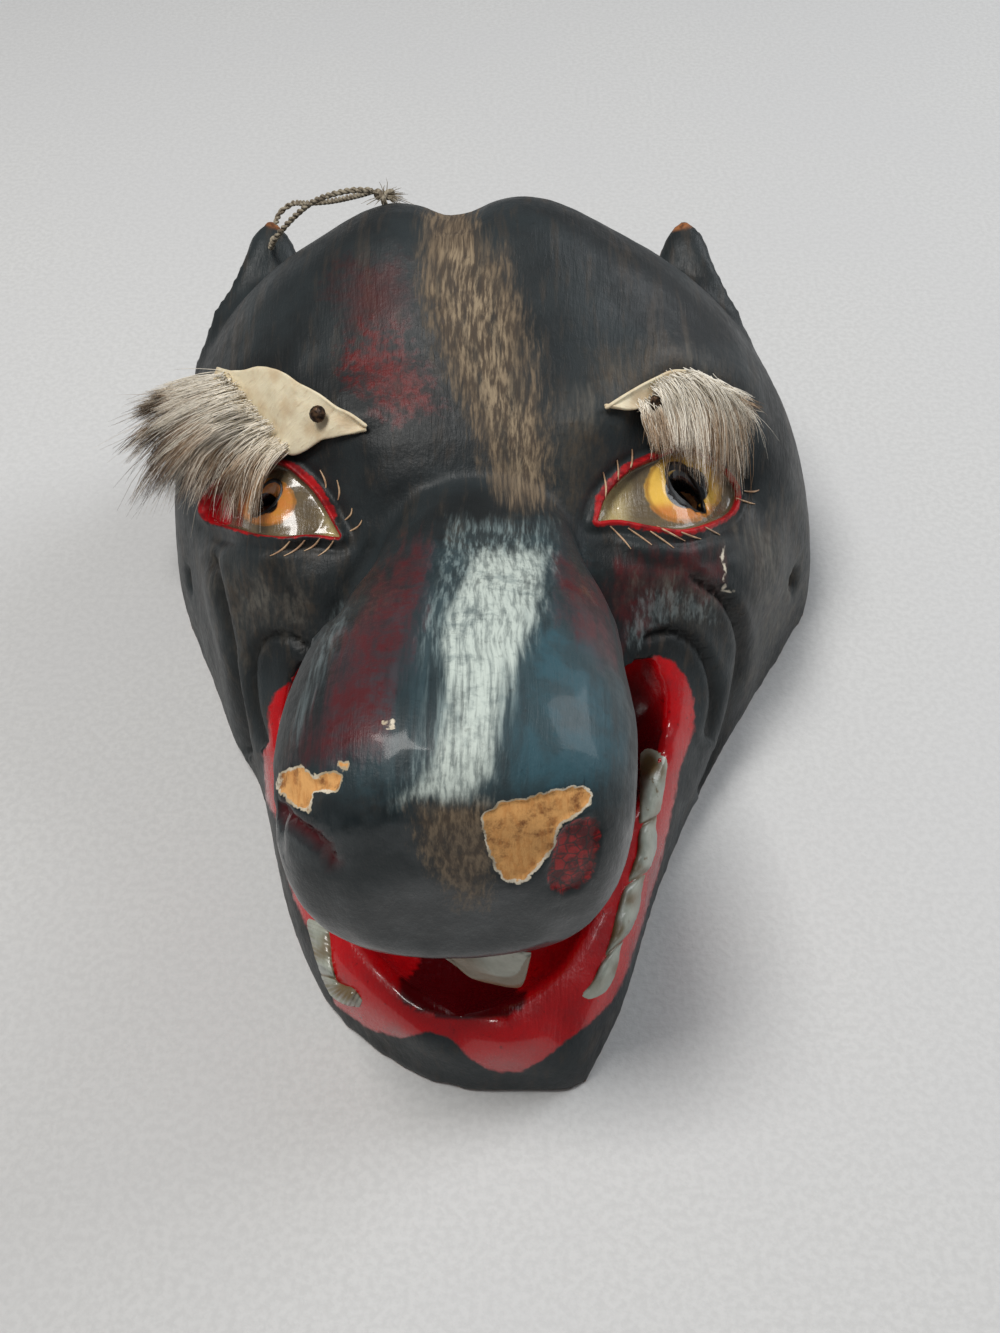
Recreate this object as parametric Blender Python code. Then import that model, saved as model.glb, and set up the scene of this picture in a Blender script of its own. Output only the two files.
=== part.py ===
"""Carved wooden wolf mask, lying face up on its back rim.

Frame while modelling: +X to the right of someone who faces the mask, +Y from chin to crown,
+Z out of the face, with the table at z = 0 and the chin at y = 0. The last step moves all pieces
so that the origin is at the bottom centre of the box round the wood, the fur and the tacks.
"""

import math
from collections import namedtuple

import bmesh
import bpy
import numpy as np
from mathutils import Vector
from mathutils.bvhtree import BVHTree

# Driving dimensions of the head, in metres
HEAD_HALF_WIDTH = 0.1080
HEAD_LENGTH = 0.2680
HEAD_HEIGHT = 0.1280
WALL = 0.0115

# Snout, from its flat nose to its root under the brow
SNOUT_HALF_WIDTH = 0.0398
SNOUT_LENGTH = 0.1400
SNOUT_TOP = 0.1205
LIP_UNDERSIDE = 0.0568

# Mouth, a trough in the lower jaw that opens into the hollow behind
MOUTH_START = 0.0080
MOUTH_LENGTH = 0.0980
MOUTH_ROOF = 0.0525
LIP_WALL = 0.0055

# Holes and their places, seen from the front
PUPIL_RIGHT = (0.0590, 0.1370)
PUPIL_RIGHT_RADIUS = 0.0058
PUPIL_LEFT = (-0.0545, 0.1330)
PUPIL_LEFT_RADIUS = 0.0044
TIE_HOLE_RADIUS = 0.0035
TIE_HOLE_ALONG = 0.1550
TIE_HOLE_HEIGHT = 0.0260
TWINE_HOLE_RADIUS = 0.0021

# Ears, swept back along the sides of the head
EAR_RADIUS = 0.0095
EAR_GROOVE_RADIUS = 0.0052
EAR_GROOVE_OFFSET = 0.0083

# Hide, fur, tacks and twine
HIDE_THICKNESS = 0.0015
FUR_THICKNESS = 0.0050
TACK_HEAD_RADIUS = 0.0023
TACK_HEAD_HEIGHT = 0.0013
TACK_SHANK_RADIUS = 0.0007
TACK_SHANK_LENGTH = 0.0070
TACK_SIDES = 12
TWINE_DIAMETER = 0.0018
KNOT_RADIUS = 0.0030
KNOT_TAIL_LENGTH = 0.0080
KNOT_STEPS = 7

# Gap kept between pieces that touch
SEAT_GAP = 0.0003
HIDE_GAP = 0.0006

# Mesh density
SECTION_POINTS = 44
HEAD_SECTIONS = 50
SNOUT_POINTS = 28
SNOUT_SECTIONS = 22
HOLE_SIDES = 16
SMOOTH_ANGLE = 40.0

HeadRow = namedtuple("HeadRow", "along left right height squareness")

# along: share of HEAD_LENGTH. left, right: shares of HEAD_HALF_WIDTH.
# height: share of HEAD_HEIGHT. squareness: exponent of the section, 2 for an ellipse.
HEAD_ROWS = [
    HeadRow(0.000, -0.02, 0.23, 0.150, 3.0),
    HeadRow(0.006, 0.06, 0.27, 0.180, 3.2),
    HeadRow(0.020, 0.13, 0.29, 0.205, 3.4),
    HeadRow(0.045, 0.225, 0.325, 0.220, 3.6),
    HeadRow(0.090, 0.335, 0.375, 0.235, 3.6),
    HeadRow(0.185, 0.445, 0.450, 0.280, 3.6),
    HeadRow(0.260, 0.500, 0.520, 0.340, 3.6),
    HeadRow(0.315, 0.535, 0.580, 0.400, 3.5),
    HeadRow(0.360, 0.575, 0.635, 0.460, 3.3),
    HeadRow(0.395, 0.622, 0.680, 0.540, 3.1),
    HeadRow(0.430, 0.665, 0.722, 0.660, 2.8),
    HeadRow(0.466, 0.703, 0.775, 0.755, 2.5),
    HeadRow(0.504, 0.740, 0.830, 0.810, 2.25),
    HeadRow(0.560, 0.800, 0.910, 0.870, 2.05),
    HeadRow(0.634, 0.868, 0.995, 0.953, 2.0),
    HeadRow(0.700, 0.900, 1.010, 0.998, 2.0),
    HeadRow(0.765, 0.915, 1.000, 0.968, 2.0),
    HeadRow(0.820, 0.910, 0.970, 0.883, 2.0),
    HeadRow(0.875, 0.875, 0.915, 0.750, 2.05),
    HeadRow(0.925, 0.785, 0.815, 0.578, 2.1),
    HeadRow(0.960, 0.650, 0.665, 0.410, 2.2),
    HeadRow(0.985, 0.470, 0.460, 0.230, 2.3),
    HeadRow(1.000, 0.230, 0.230, 0.080, 2.3),
]

SnoutRow = namedtuple("SnoutRow", "along centre width top bottom")

# along: share of SNOUT_LENGTH. centre, width: shares of SNOUT_HALF_WIDTH. top: share of SNOUT_TOP.
# bottom: share of LIP_UNDERSIDE, the height of the upper lip's edge above the table.
SNOUT_ROWS = [
    SnoutRow(0.000, -0.04, 0.50, 0.790, 1.12),
    SnoutRow(0.010, -0.04, 0.68, 0.850, 1.05),
    SnoutRow(0.040, -0.04, 0.84, 0.925, 1.01),
    SnoutRow(0.095, -0.03, 0.94, 0.978, 1.00),
    SnoutRow(0.185, -0.03, 0.99, 1.000, 1.00),
    SnoutRow(0.260, -0.02, 1.00, 0.994, 1.00),
    SnoutRow(0.400, 0.00, 0.95, 0.955, 1.00),
    SnoutRow(0.550, 0.06, 0.86, 0.885, 0.98),
    SnoutRow(0.700, 0.09, 0.72, 0.820, 0.90),
    SnoutRow(0.850, 0.09, 0.62, 0.790, 0.80),
    SnoutRow(1.000, 0.07, 0.56, 0.745, 0.80),
]
SNOUT_SQUARENESS = 2.5

MouthRow = namedtuple("MouthRow", "along width floor")

# along: share of MOUTH_LENGTH. width: share of the jaw's inner width. floor: share of MOUTH_ROOF.
MOUTH_ROWS = [
    MouthRow(0.00, 0.55, 0.50),
    MouthRow(0.05, 0.78, 0.40),
    MouthRow(0.12, 0.90, 0.32),
    MouthRow(0.25, 0.97, 0.27),
    MouthRow(0.45, 1.00, 0.25),
    MouthRow(0.70, 1.00, 0.25),
    MouthRow(0.85, 0.90, 0.26),
    MouthRow(0.95, 0.72, 0.32),
    MouthRow(1.00, 0.45, 0.50),
]
MOUTH_SQUARENESS = 2.4
MOUTH_POINTS = 16
MOUTH_SECTIONS = 14

HollowRow = namedtuple("HollowRow", "along narrowing")

# along: share of HEAD_LENGTH. narrowing: share of the full inner section.
HOLLOW_ROWS = [
    HollowRow(0.270, 0.20),
    HollowRow(0.300, 0.52),
    HollowRow(0.350, 0.74),
    HollowRow(0.420, 0.87),
    HollowRow(0.500, 0.95),
    HollowRow(0.580, 1.00),
    HollowRow(0.850, 1.00),
    HollowRow(0.930, 0.93),
    HollowRow(0.957, 0.74),
]
HOLLOW_SECTIONS = 20

EarRow = namedtuple("EarRow", "across along up girth inner groove")

# across, along, up: shares of HEAD_HALF_WIDTH, HEAD_LENGTH and HEAD_HEIGHT.
# girth, inner: shares of EAR_RADIUS, the second for the side towards the crown, where the ear
# runs out into the head. groove: share of EAR_GROOVE_RADIUS.
EAR_ROWS = [
    EarRow(0.800, 0.735, 0.430, 0.50, 0.50, 0.22),
    EarRow(0.765, 0.765, 0.510, 0.85, 0.90, 0.80),
    EarRow(0.708, 0.800, 0.585, 1.00, 1.30, 1.00),
    EarRow(0.650, 0.842, 0.655, 0.86, 1.60, 0.95),
    EarRow(0.612, 0.876, 0.715, 0.58, 1.05, 0.62),
    EarRow(0.596, 0.896, 0.750, 0.24, 0.26, 0.16),
]
EAR_POINTS = 12
EAR_FLATNESS = 0.95
EAR_LEFT_INSET = 0.0035

# Where an ear's groove faces: away from the middle, towards the crown and up
EAR_FACING = (1.0, 0.25, 0.35)

Hollowed = namedtuple("Hollowed", "name place size")

# place: shares of SNOUT_HALF_WIDTH, SNOUT_LENGTH and SNOUT_TOP. size: metres across, along and up.
NOSTRILS = [
    Hollowed("nostril_right", (0.62, -0.012, 0.840), (0.0052, 0.0060, 0.0075)),
    Hollowed("nostril_left", (-0.98, 0.115, 0.780), (0.0050, 0.0085, 0.0055)),
]

CarvedLine = namedtuple("CarvedLine", "name both_sides rise spread path")

# rise: metres out of the wood, negative for a groove. spread: metres to each side.
# path: points as shares of HEAD_HALF_WIDTH, HEAD_LENGTH and HEAD_HEIGHT.
CARVED_LINES = [
    CarvedLine("eye socket", True, -0.0085, 0.0120,
               [(0.36, 0.465, 0.68), (0.53, 0.520, 0.66), (0.68, 0.548, 0.56)]),
    CarvedLine("eyeball", True, 0.0060, 0.0090,
               [(0.50, 0.512, 0.66), (0.58, 0.530, 0.62)]),
    CarvedLine("brow ridge", True, 0.0040, 0.0090,
               [(0.30, 0.520, 0.78), (0.50, 0.605, 0.80), (0.74, 0.640, 0.68)]),
    CarvedLine("cheekbone", True, 0.0040, 0.0120,
               [(0.46, 0.425, 0.58), (0.66, 0.450, 0.46), (0.84, 0.520, 0.36)]),
    CarvedLine("inner fold", True, -0.0028, 0.0030,
               [(0.42, 0.395, 0.52), (0.52, 0.392, 0.46), (0.60, 0.375, 0.38), (0.63, 0.340, 0.28)]),
    CarvedLine("outer fold", True, -0.0028, 0.0032,
               [(0.60, 0.440, 0.50), (0.68, 0.440, 0.42), (0.73, 0.415, 0.32), (0.72, 0.380, 0.20)]),
    CarvedLine("crown cleft", False, -0.0060, 0.0100,
               [(-0.05, 0.720, 1.00), (-0.05, 0.800, 0.90), (-0.05, 0.900, 0.65)]),
    CarvedLine("crown lobe", True, 0.0030, 0.0150,
               [(0.17, 0.740, 0.98), (0.20, 0.840, 0.82)]),
]


BrowRow = namedtuple("BrowRow", "top root tip")

# One row for each side of a lock. top, root: the hide's upper and lower edge, as shares of
# HEAD_HALF_WIDTH and HEAD_LENGTH. tip: where the fur ends, with its height as a share of HEAD_HEIGHT.
BROW_LEFT_ROWS = [
    BrowRow((-0.250, 0.506), (-0.275, 0.500), (-0.360, 0.462, 0.76)),
    BrowRow((-0.330, 0.534), (-0.345, 0.506), (-0.433, 0.419, 0.71)),
    BrowRow((-0.395, 0.556), (-0.405, 0.516), (-0.412, 0.478, 0.72)),
    BrowRow((-0.445, 0.576), (-0.460, 0.530), (-0.475, 0.530, 0.69)),
    BrowRow((-0.490, 0.596), (-0.515, 0.552), (-0.681, 0.522, 0.57)),
    BrowRow((-0.535, 0.612), (-0.565, 0.576), (-0.759, 0.553, 0.51)),
    BrowRow((-0.575, 0.626), (-0.605, 0.598), (-0.830, 0.566, 0.50)),
    BrowRow((-0.615, 0.642), (-0.635, 0.616), (-0.886, 0.592, 0.53)),
    BrowRow((-0.655, 0.662), (-0.660, 0.636), (-0.904, 0.615, 0.58)),
    BrowRow((-0.680, 0.680), (-0.690, 0.668), (-0.880, 0.640, 0.64)),
]
BROW_RIGHT_ROWS = [
    BrowRow((0.345, 0.530), (0.350, 0.523), (0.365, 0.504, 0.82)),
    BrowRow((0.385, 0.546), (0.395, 0.532), (0.405, 0.494, 0.78)),
    BrowRow((0.425, 0.560), (0.435, 0.540), (0.446, 0.487, 0.74)),
    BrowRow((0.465, 0.574), (0.475, 0.550), (0.462, 0.500, 0.72)),
    BrowRow((0.505, 0.587), (0.515, 0.560), (0.525, 0.548, 0.71)),
    BrowRow((0.545, 0.597), (0.555, 0.570), (0.582, 0.550, 0.69)),
    BrowRow((0.590, 0.604), (0.595, 0.578), (0.650, 0.520, 0.62)),
    BrowRow((0.635, 0.609), (0.640, 0.587), (0.682, 0.524, 0.58)),
    BrowRow((0.680, 0.614), (0.685, 0.597), (0.727, 0.551, 0.55)),
]
HIDE_STRIPS = 4
LOCK_STEPS = (0.15, 0.3, 0.5, 0.75, 1.0)
LOCK_GIRTHS = (0.80, 0.72, 0.62, 0.42, 0.14)
LOCK_ARCH = 0.6
LOCK_CLEARANCE = 0.0016
LIFT_PASSES = 4

HidePlace = namedtuple("HidePlace", "row down")

# Tacks on the hides. row: place in the brow's table, counted from its first row.
# down: share of the way from the hide's upper edge to its lower one.
TACK_LEFT = HidePlace(1.15, 0.45)
TACK_RIGHT = HidePlace(2.25, 0.55)

# The twine's route in metres: out of the knot, through the ear's hole and back
EAR_HOLE = (-0.0608, 0.2350, 0.0948)
KNOT_PLACE = (-0.0240, 0.2140)
TWINE_ROUTE = [
    (-0.0278, 0.2142, 0.1222),
    (-0.0350, 0.2155, 0.1212),
    (-0.0440, 0.2180, 0.1170),
    (-0.0505, 0.2205, 0.1110),
    (-0.0565, 0.2220, 0.1040),
    (-0.0598, 0.2240, 0.0985),
    (-0.0608, 0.2280, 0.0952),
    (-0.0608, 0.2350, 0.0948),
    (-0.0608, 0.2420, 0.0948),
    (-0.0596, 0.2465, 0.0958),
    (-0.0555, 0.2470, 0.0985),
    (-0.0510, 0.2420, 0.1015),
    (-0.0420, 0.2340, 0.1070),
    (-0.0330, 0.2245, 0.1145),
    (-0.0278, 0.2185, 0.1195),
]
TWINE_POINTS = 60


def remove_old_objects():
    for old in list(bpy.data.objects):
        bpy.data.objects.remove(old, do_unlink=True)


def new_material(name, colour, roughness, metallic=0.0):
    material = bpy.data.materials.new(name)
    material.use_nodes = True
    shader = material.node_tree.nodes["Principled BSDF"]
    shader.inputs["Base Color"].default_value = (*colour, 1.0)
    shader.inputs["Roughness"].default_value = roughness
    shader.inputs["Metallic"].default_value = metallic
    material.diffuse_color = (*colour, 1.0)
    return material


def add_object(name, mesh, material=None):
    obj = bpy.data.objects.new(name, mesh)
    bpy.context.scene.collection.objects.link(obj)
    if material is not None:
        mesh.materials.append(material)
    return obj


def as_cutter(obj):
    obj.hide_render = True
    obj.display_type = "WIRE"
    return obj


def smooth_value(rows, column, along):
    """A column of a table at one place, on a smooth curve that never overshoots its rows."""
    x = np.array([row.along for row in rows])
    y = np.array([getattr(row, column) for row in rows])
    step = np.diff(x)
    slope = np.diff(y) / step
    tangent = np.zeros(len(x))
    tangent[0] = slope[0]
    tangent[-1] = slope[-1]
    for i in range(1, len(x) - 1):
        if slope[i - 1] * slope[i] > 0:
            tangent[i] = 2 * slope[i - 1] * slope[i] / (slope[i - 1] + slope[i])
    i = int(np.clip(np.searchsorted(x, along) - 1, 0, len(step) - 1))
    t = (along - x[i]) / step[i]
    start = (1 + 2 * t) * (1 - t) ** 2 * y[i] + t * (1 - t) ** 2 * step[i] * tangent[i]
    end = t * t * (3 - 2 * t) * y[i + 1] + t * t * (t - 1) * step[i] * tangent[i + 1]
    return float(start + end)


def loft(name, rings, material=None):
    """A closed body through rings that have the same number of points each."""
    mesh = bpy.data.meshes.new(name)
    body = bmesh.new()
    loops = [[body.verts.new(point) for point in ring] for ring in rings]
    count = len(loops[0])
    for near, far in zip(loops, loops[1:]):
        for i in range(count):
            j = (i + 1) % count
            body.faces.new((near[i], near[j], far[j], far[i]))
    body.faces.new(loops[0])
    body.faces.new(reversed(loops[-1]))
    bmesh.ops.triangulate(body, faces=[face for face in body.faces if len(face.verts) > 4])
    bmesh.ops.recalc_face_normals(body, faces=body.faces)
    body.to_mesh(mesh)
    body.free()
    return add_object(name, mesh, material)


def power(value, exponent):
    return math.copysign(abs(value) ** exponent, value)


def eased_steps(count):
    """Places from 0 to 1 that crowd together at both ends."""
    steps = [i / (count - 1) for i in range(count)]
    return [0.55 * t + 0.45 * (0.5 - 0.5 * math.cos(math.pi * t)) for t in steps]


def head_section(along, wall=0.0, narrowing=1.0):
    """The top line of one section, from the left rim to the right, inside the wood by a wall."""
    left = smooth_value(HEAD_ROWS, "left", along) * HEAD_HALF_WIDTH - wall
    right = smooth_value(HEAD_ROWS, "right", along) * HEAD_HALF_WIDTH - wall
    height = smooth_value(HEAD_ROWS, "height", along) * HEAD_HEIGHT - wall
    shape = 2.0 / smooth_value(HEAD_ROWS, "squareness", along)
    lean = (right - left) / 2
    half = (right + left) / 2
    points = []
    for i in range(SECTION_POINTS + 1):
        angle = math.pi * (i / SECTION_POINTS - 0.5)
        x = lean * math.sin(angle) ** 2 + half * power(math.sin(angle), shape)
        z = height * max(math.cos(angle), 0.0) ** shape
        points.append(Vector((x * narrowing, along * HEAD_LENGTH, z * narrowing)))
    return points


def distance_to_path(points, path):
    best = np.full(len(points), np.inf)
    for start, end in zip(path, path[1:]):
        run = end - start
        t = np.clip((points - start) @ run / (run @ run), 0, 1)
        best = np.minimum(best, np.linalg.norm(points - start - t[:, None] * run, axis=1))
    return best


def carve_lines(obj):
    """Moves the surface along its normals, out at ridges and in at grooves."""
    mesh = obj.data
    points = np.array([vert.co for vert in mesh.vertices])
    normals = np.array([vert.normal for vert in mesh.vertices])
    scale = np.array([HEAD_HALF_WIDTH, HEAD_LENGTH, HEAD_HEIGHT])
    move = np.zeros(len(points))
    for line in CARVED_LINES:
        for side in ((1, -1) if line.both_sides else (1,)):
            path = np.array(line.path) * scale * (side, 1, 1)
            distance = distance_to_path(points, path)
            move += line.rise * np.exp(-((distance / line.spread) ** 2))
    above_table = np.clip(points[:, 2] / WALL, 0, 1)
    points += normals * (move * above_table)[:, None]
    for vert, point in zip(mesh.vertices, points):
        vert.co = point


def make_head_form(material):
    rings = [head_section(along) for along in eased_steps(HEAD_SECTIONS)]
    head = loft("carved_head", rings, material)
    carve_lines(head)
    return head


def make_snout():
    rings = []
    for along in eased_steps(SNOUT_SECTIONS):
        centre = smooth_value(SNOUT_ROWS, "centre", along) * SNOUT_HALF_WIDTH
        half = smooth_value(SNOUT_ROWS, "width", along) * SNOUT_HALF_WIDTH
        top = smooth_value(SNOUT_ROWS, "top", along) * SNOUT_TOP
        bottom = smooth_value(SNOUT_ROWS, "bottom", along) * LIP_UNDERSIDE
        middle = (top + bottom) / 2
        ring = []
        for i in range(SNOUT_POINTS):
            angle = 2 * math.pi * i / SNOUT_POINTS
            x = centre + half * power(math.cos(angle), 2 / SNOUT_SQUARENESS)
            z = middle + (top - middle) * power(math.sin(angle), 2 / SNOUT_SQUARENESS)
            ring.append(Vector((x, along * SNOUT_LENGTH, z)))
        rings.append(ring)
    return as_cutter(loft("snout_form", rings))


def make_mouth():
    """The trough behind the lips, round below and flat above."""
    rings = []
    for along in eased_steps(MOUTH_SECTIONS):
        y = MOUTH_START + along * MOUTH_LENGTH
        share = smooth_value(MOUTH_ROWS, "width", along)
        rim_left = smooth_value(HEAD_ROWS, "left", y / HEAD_LENGTH) * HEAD_HALF_WIDTH
        rim_right = smooth_value(HEAD_ROWS, "right", y / HEAD_LENGTH) * HEAD_HALF_WIDTH
        left = (rim_left - LIP_WALL) * share
        right = (rim_right - LIP_WALL) * share
        depth = MOUTH_ROOF * (1 - smooth_value(MOUTH_ROWS, "floor", along))
        ring = []
        for i in range(MOUTH_POINTS + 1):
            angle = math.pi * i / MOUTH_POINTS
            side = power(math.cos(angle), 2 / MOUTH_SQUARENESS)
            x = side * (right if side > 0 else left)
            z = MOUTH_ROOF - depth * math.sin(angle) ** (2 / MOUTH_SQUARENESS)
            ring.append(Vector((x, y, z)))
        rings.append(ring)
    return as_cutter(loft("mouth_cut", rings))


def make_hollow():
    """The wearer's side, a wall's thickness inside the outer form and open below."""
    rings = []
    first = HOLLOW_ROWS[0].along
    last = HOLLOW_ROWS[-1].along
    for step in eased_steps(HOLLOW_SECTIONS):
        along = first + (last - first) * step
        narrowing = smooth_value(HOLLOW_ROWS, "narrowing", along)
        arch = head_section(along, WALL, narrowing)[::2]
        below = [Vector((point.x, point.y, -WALL)) for point in (arch[-1], arch[0])]
        rings.append(arch[1:-1] + below)
    return as_cutter(loft("hollow_cut", rings))


def make_rod(name, start, end, radius, sides=HOLE_SIDES):
    """A round bar between two points, as a cutter for a hole or as part of a pin."""
    axis = (end - start).normalized()
    aside = axis.orthogonal().normalized()
    other = axis.cross(aside)
    rings = []
    for place in (start, end):
        turns = [2 * math.pi * i / sides for i in range(sides)]
        rings.append([place + radius * (math.cos(a) * aside + math.sin(a) * other) for a in turns])
    return loft(name, rings)


def ear_place(row, side):
    inset = EAR_LEFT_INSET if side < 0 else 0.0
    across = side * row.across * HEAD_HALF_WIDTH + inset
    return Vector((across, row.along * HEAD_LENGTH, row.up * HEAD_HEIGHT))


def make_ear(name, side, columns, radius, flatness, shift):
    """A tapered form through the ear's rows: the ear itself, or the groove along it.

    The two columns give its reach away from the head and towards it.
    """
    axis = (ear_place(EAR_ROWS[-1], side) - ear_place(EAR_ROWS[0], side)).normalized()
    facing = Vector((side * EAR_FACING[0], EAR_FACING[1], EAR_FACING[2]))
    outward = (facing - axis * facing.dot(axis)).normalized()
    across = axis.cross(outward)
    rings = []
    for row in EAR_ROWS:
        outer = getattr(row, columns[0]) * radius
        inner = getattr(row, columns[1]) * radius
        centre = ear_place(row, side) + outward * shift
        ring = []
        for i in range(EAR_POINTS):
            angle = 2 * math.pi * i / EAR_POINTS
            reach = outer if math.sin(angle) >= 0 else inner
            ring.append(centre + outer * flatness * math.cos(angle) * across
                        + reach * math.sin(angle) * outward)
        rings.append(ring)
    return as_cutter(loft(name, rings))


def make_nostril(row):
    mesh = bpy.data.meshes.new(row.name)
    body = bmesh.new()
    bmesh.ops.create_uvsphere(body, u_segments=14, v_segments=8, radius=1.0)
    body.to_mesh(mesh)
    body.free()
    scale = (SNOUT_HALF_WIDTH, SNOUT_LENGTH, SNOUT_TOP)
    for vert in mesh.vertices:
        vert.co = Vector(p * s + v * r for p, s, v, r in zip(row.place, scale, vert.co, row.size))
    return as_cutter(add_object(row.name, mesh))


def boolean(target, tool, operation):
    modifier = target.modifiers.new(tool.name, "BOOLEAN")
    modifier.operation = operation
    modifier.solver = "EXACT"
    modifier.object = tool


def make_carved_head(material):
    """The head, and its outer surface before the openings are cut, which the brows are laid on."""
    head = make_head_form(material)
    boolean(head, make_snout(), "UNION")
    for side, name in ((1, "ear_right"), (-1, "ear_left")):
        ear = make_ear(name + "_form", side, ("girth", "inner"), EAR_RADIUS, EAR_FLATNESS, 0.0)
        boolean(head, ear, "UNION")
        groove = make_ear(name + "_groove", side, ("groove", "groove"), EAR_GROOVE_RADIUS, 1.0,
                          EAR_GROOVE_OFFSET)
        boolean(head, groove, "DIFFERENCE")
    surface = surface_of(head)
    boolean(head, make_mouth(), "DIFFERENCE")
    boolean(head, make_hollow(), "DIFFERENCE")
    for name, (x, y), radius in (("pupil_right", PUPIL_RIGHT, PUPIL_RIGHT_RADIUS),
                                 ("pupil_left", PUPIL_LEFT, PUPIL_LEFT_RADIUS)):
        hole = make_rod(name, Vector((x, y, WALL)), Vector((x, y, HEAD_HEIGHT)), radius)
        boolean(head, as_cutter(hole), "DIFFERENCE")
    for side, name in ((1, "tie_right"), (-1, "tie_left")):
        inner = Vector((side * (HEAD_HALF_WIDTH - 4 * WALL), TIE_HOLE_ALONG, TIE_HOLE_HEIGHT))
        outer = Vector((side * (HEAD_HALF_WIDTH + WALL), TIE_HOLE_ALONG, TIE_HOLE_HEIGHT))
        boolean(head, as_cutter(make_rod(name, inner, outer, TIE_HOLE_RADIUS)), "DIFFERENCE")
    for row in NOSTRILS:
        boolean(head, make_nostril(row), "DIFFERENCE")
    ear_hole = Vector(EAR_HOLE)
    through = Vector((0, 2 * EAR_RADIUS, 0))
    bore = make_rod("ear_bore", ear_hole - through, ear_hole + through, TWINE_HOLE_RADIUS, 10)
    boolean(head, as_cutter(bore), "DIFFERENCE")
    return head, surface


def surface_of(obj):
    return BVHTree.FromObject(obj, bpy.context.evaluated_depsgraph_get())


def seat_below(surface, x, y):
    """The point of a surface straight below, with the normal there."""
    hit, normal, _, _ = surface.ray_cast(Vector((x, y, 2 * HEAD_HEIGHT)), Vector((0, 0, -1)))
    return hit, normal


def clear_of(surface, point, gap):
    """The same point, raised where it would come nearer to the surface than a gap."""
    near, normal, _, _ = surface.find_nearest(point)
    height = (point - near).dot(normal)
    if height < gap:
        return point + normal * (gap - height)
    return point


def lift_clear(faces, partners, surface, gap):
    """Raises whole rings of corners where a face's middle or edges come nearer to the wood than a gap."""
    for _ in range(LIFT_PASSES):
        for face in faces:
            corners = [vert.co for vert in face.verts]
            samples = [a.lerp(b, 0.5) for a, b in zip(corners, corners[1:] + corners[:1])]
            samples.append(face.calc_center_median())
            lifts = [clear_of(surface, sample, gap) - sample for sample in samples]
            lift = max(lifts, key=lambda move: move.length)
            moved = {partner for vert in face.verts for partner in partners[vert]}
            for vert in moved:
                vert.co += lift


def make_brow(name, rows, surface, material):
    """A hide patch laid on the wood, with a fan of tapered locks grown from its lower edge."""
    body = bmesh.new()
    under = []
    upper = []
    ups = []
    partners = {}
    for row in rows:
        under_line = []
        upper_line = []
        for k in range(HIDE_STRIPS + 1):
            t = k / HIDE_STRIPS
            x = (row.top[0] * (1 - t) + row.root[0] * t) * HEAD_HALF_WIDTH
            y = (row.top[1] * (1 - t) + row.root[1] * t) * HEAD_LENGTH
            seat, normal = seat_below(surface, x, y)
            low = clear_of(surface, seat + normal * HIDE_GAP, HIDE_GAP)
            under_line.append(body.verts.new(low))
            upper_line.append(body.verts.new(low + normal * HIDE_THICKNESS))
            for vert in (under_line[-1], upper_line[-1]):
                partners[vert] = (under_line[-1], upper_line[-1])
        under.append(under_line)
        upper.append(upper_line)
        ups.append(normal)
    last = len(rows) - 1
    for i in range(last):
        for k in range(HIDE_STRIPS):
            body.faces.new((upper[i][k], upper[i][k + 1], upper[i + 1][k + 1], upper[i + 1][k]))
            body.faces.new((under[i][k], under[i + 1][k], under[i + 1][k + 1], under[i][k + 1]))
        body.faces.new((upper[i][0], upper[i + 1][0], under[i + 1][0], under[i][0]))
    for i in (0, last):
        for k in range(HIDE_STRIPS):
            body.faces.new((upper[i][k], under[i][k], under[i][k + 1], upper[i][k + 1]))
    scale = Vector((HEAD_HALF_WIDTH, HEAD_LENGTH, HEAD_HEIGHT))
    for i in range(last):
        ring = [upper[i][-1], upper[i + 1][-1], under[i + 1][-1], under[i][-1]]
        root = (ring[0].co + ring[1].co + ring[2].co + ring[3].co) / 4
        across = (ring[1].co - ring[0].co) / 2
        tip_near = Vector(rows[i].tip) * scale
        tip_far = Vector(rows[i + 1].tip) * scale
        tip = (tip_near + tip_far) / 2
        spread = (tip_far - tip_near) / 2
        up = (ups[i] + ups[i + 1]).normalized()
        for step, girth in zip(LOCK_STEPS, LOCK_GIRTHS):
            middle = root.lerp(tip, step) + up * FUR_THICKNESS * LOCK_ARCH * math.sin(math.pi * step)
            side = across.lerp(spread, step) * girth
            thick = up * FUR_THICKNESS * girth / 2
            near = middle - side
            far = middle + side
            corners = (near + thick, far + thick, far - thick, near - thick)
            new_ring = [body.verts.new(clear_of(surface, corner, LOCK_CLEARANCE)) for corner in corners]
            for vert in new_ring:
                partners[vert] = new_ring
            for k in range(4):
                body.faces.new((ring[k], ring[(k + 1) % 4], new_ring[(k + 1) % 4], new_ring[k]))
            ring = new_ring
        body.faces.new(ring)
    bmesh.ops.triangulate(body, faces=body.faces)
    lift_clear(body.faces, partners, surface, HIDE_GAP)
    bmesh.ops.recalc_face_normals(body, faces=body.faces)
    mesh = bpy.data.meshes.new(name)
    body.to_mesh(mesh)
    body.free()
    return add_object(name, mesh, material)


def turned(name, profile, base, axis, sides, material=None):
    """A round body about an axis. profile: pairs of radius and height, from below to above."""
    aside = axis.orthogonal().normalized()
    other = axis.cross(aside)
    rings = []
    for radius, height in profile:
        turns = [2 * math.pi * i / sides for i in range(sides)]
        centre = base + axis * height
        rings.append([centre + radius * (math.cos(a) * aside + math.sin(a) * other) for a in turns])
    return loft(name, rings, material)


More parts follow.
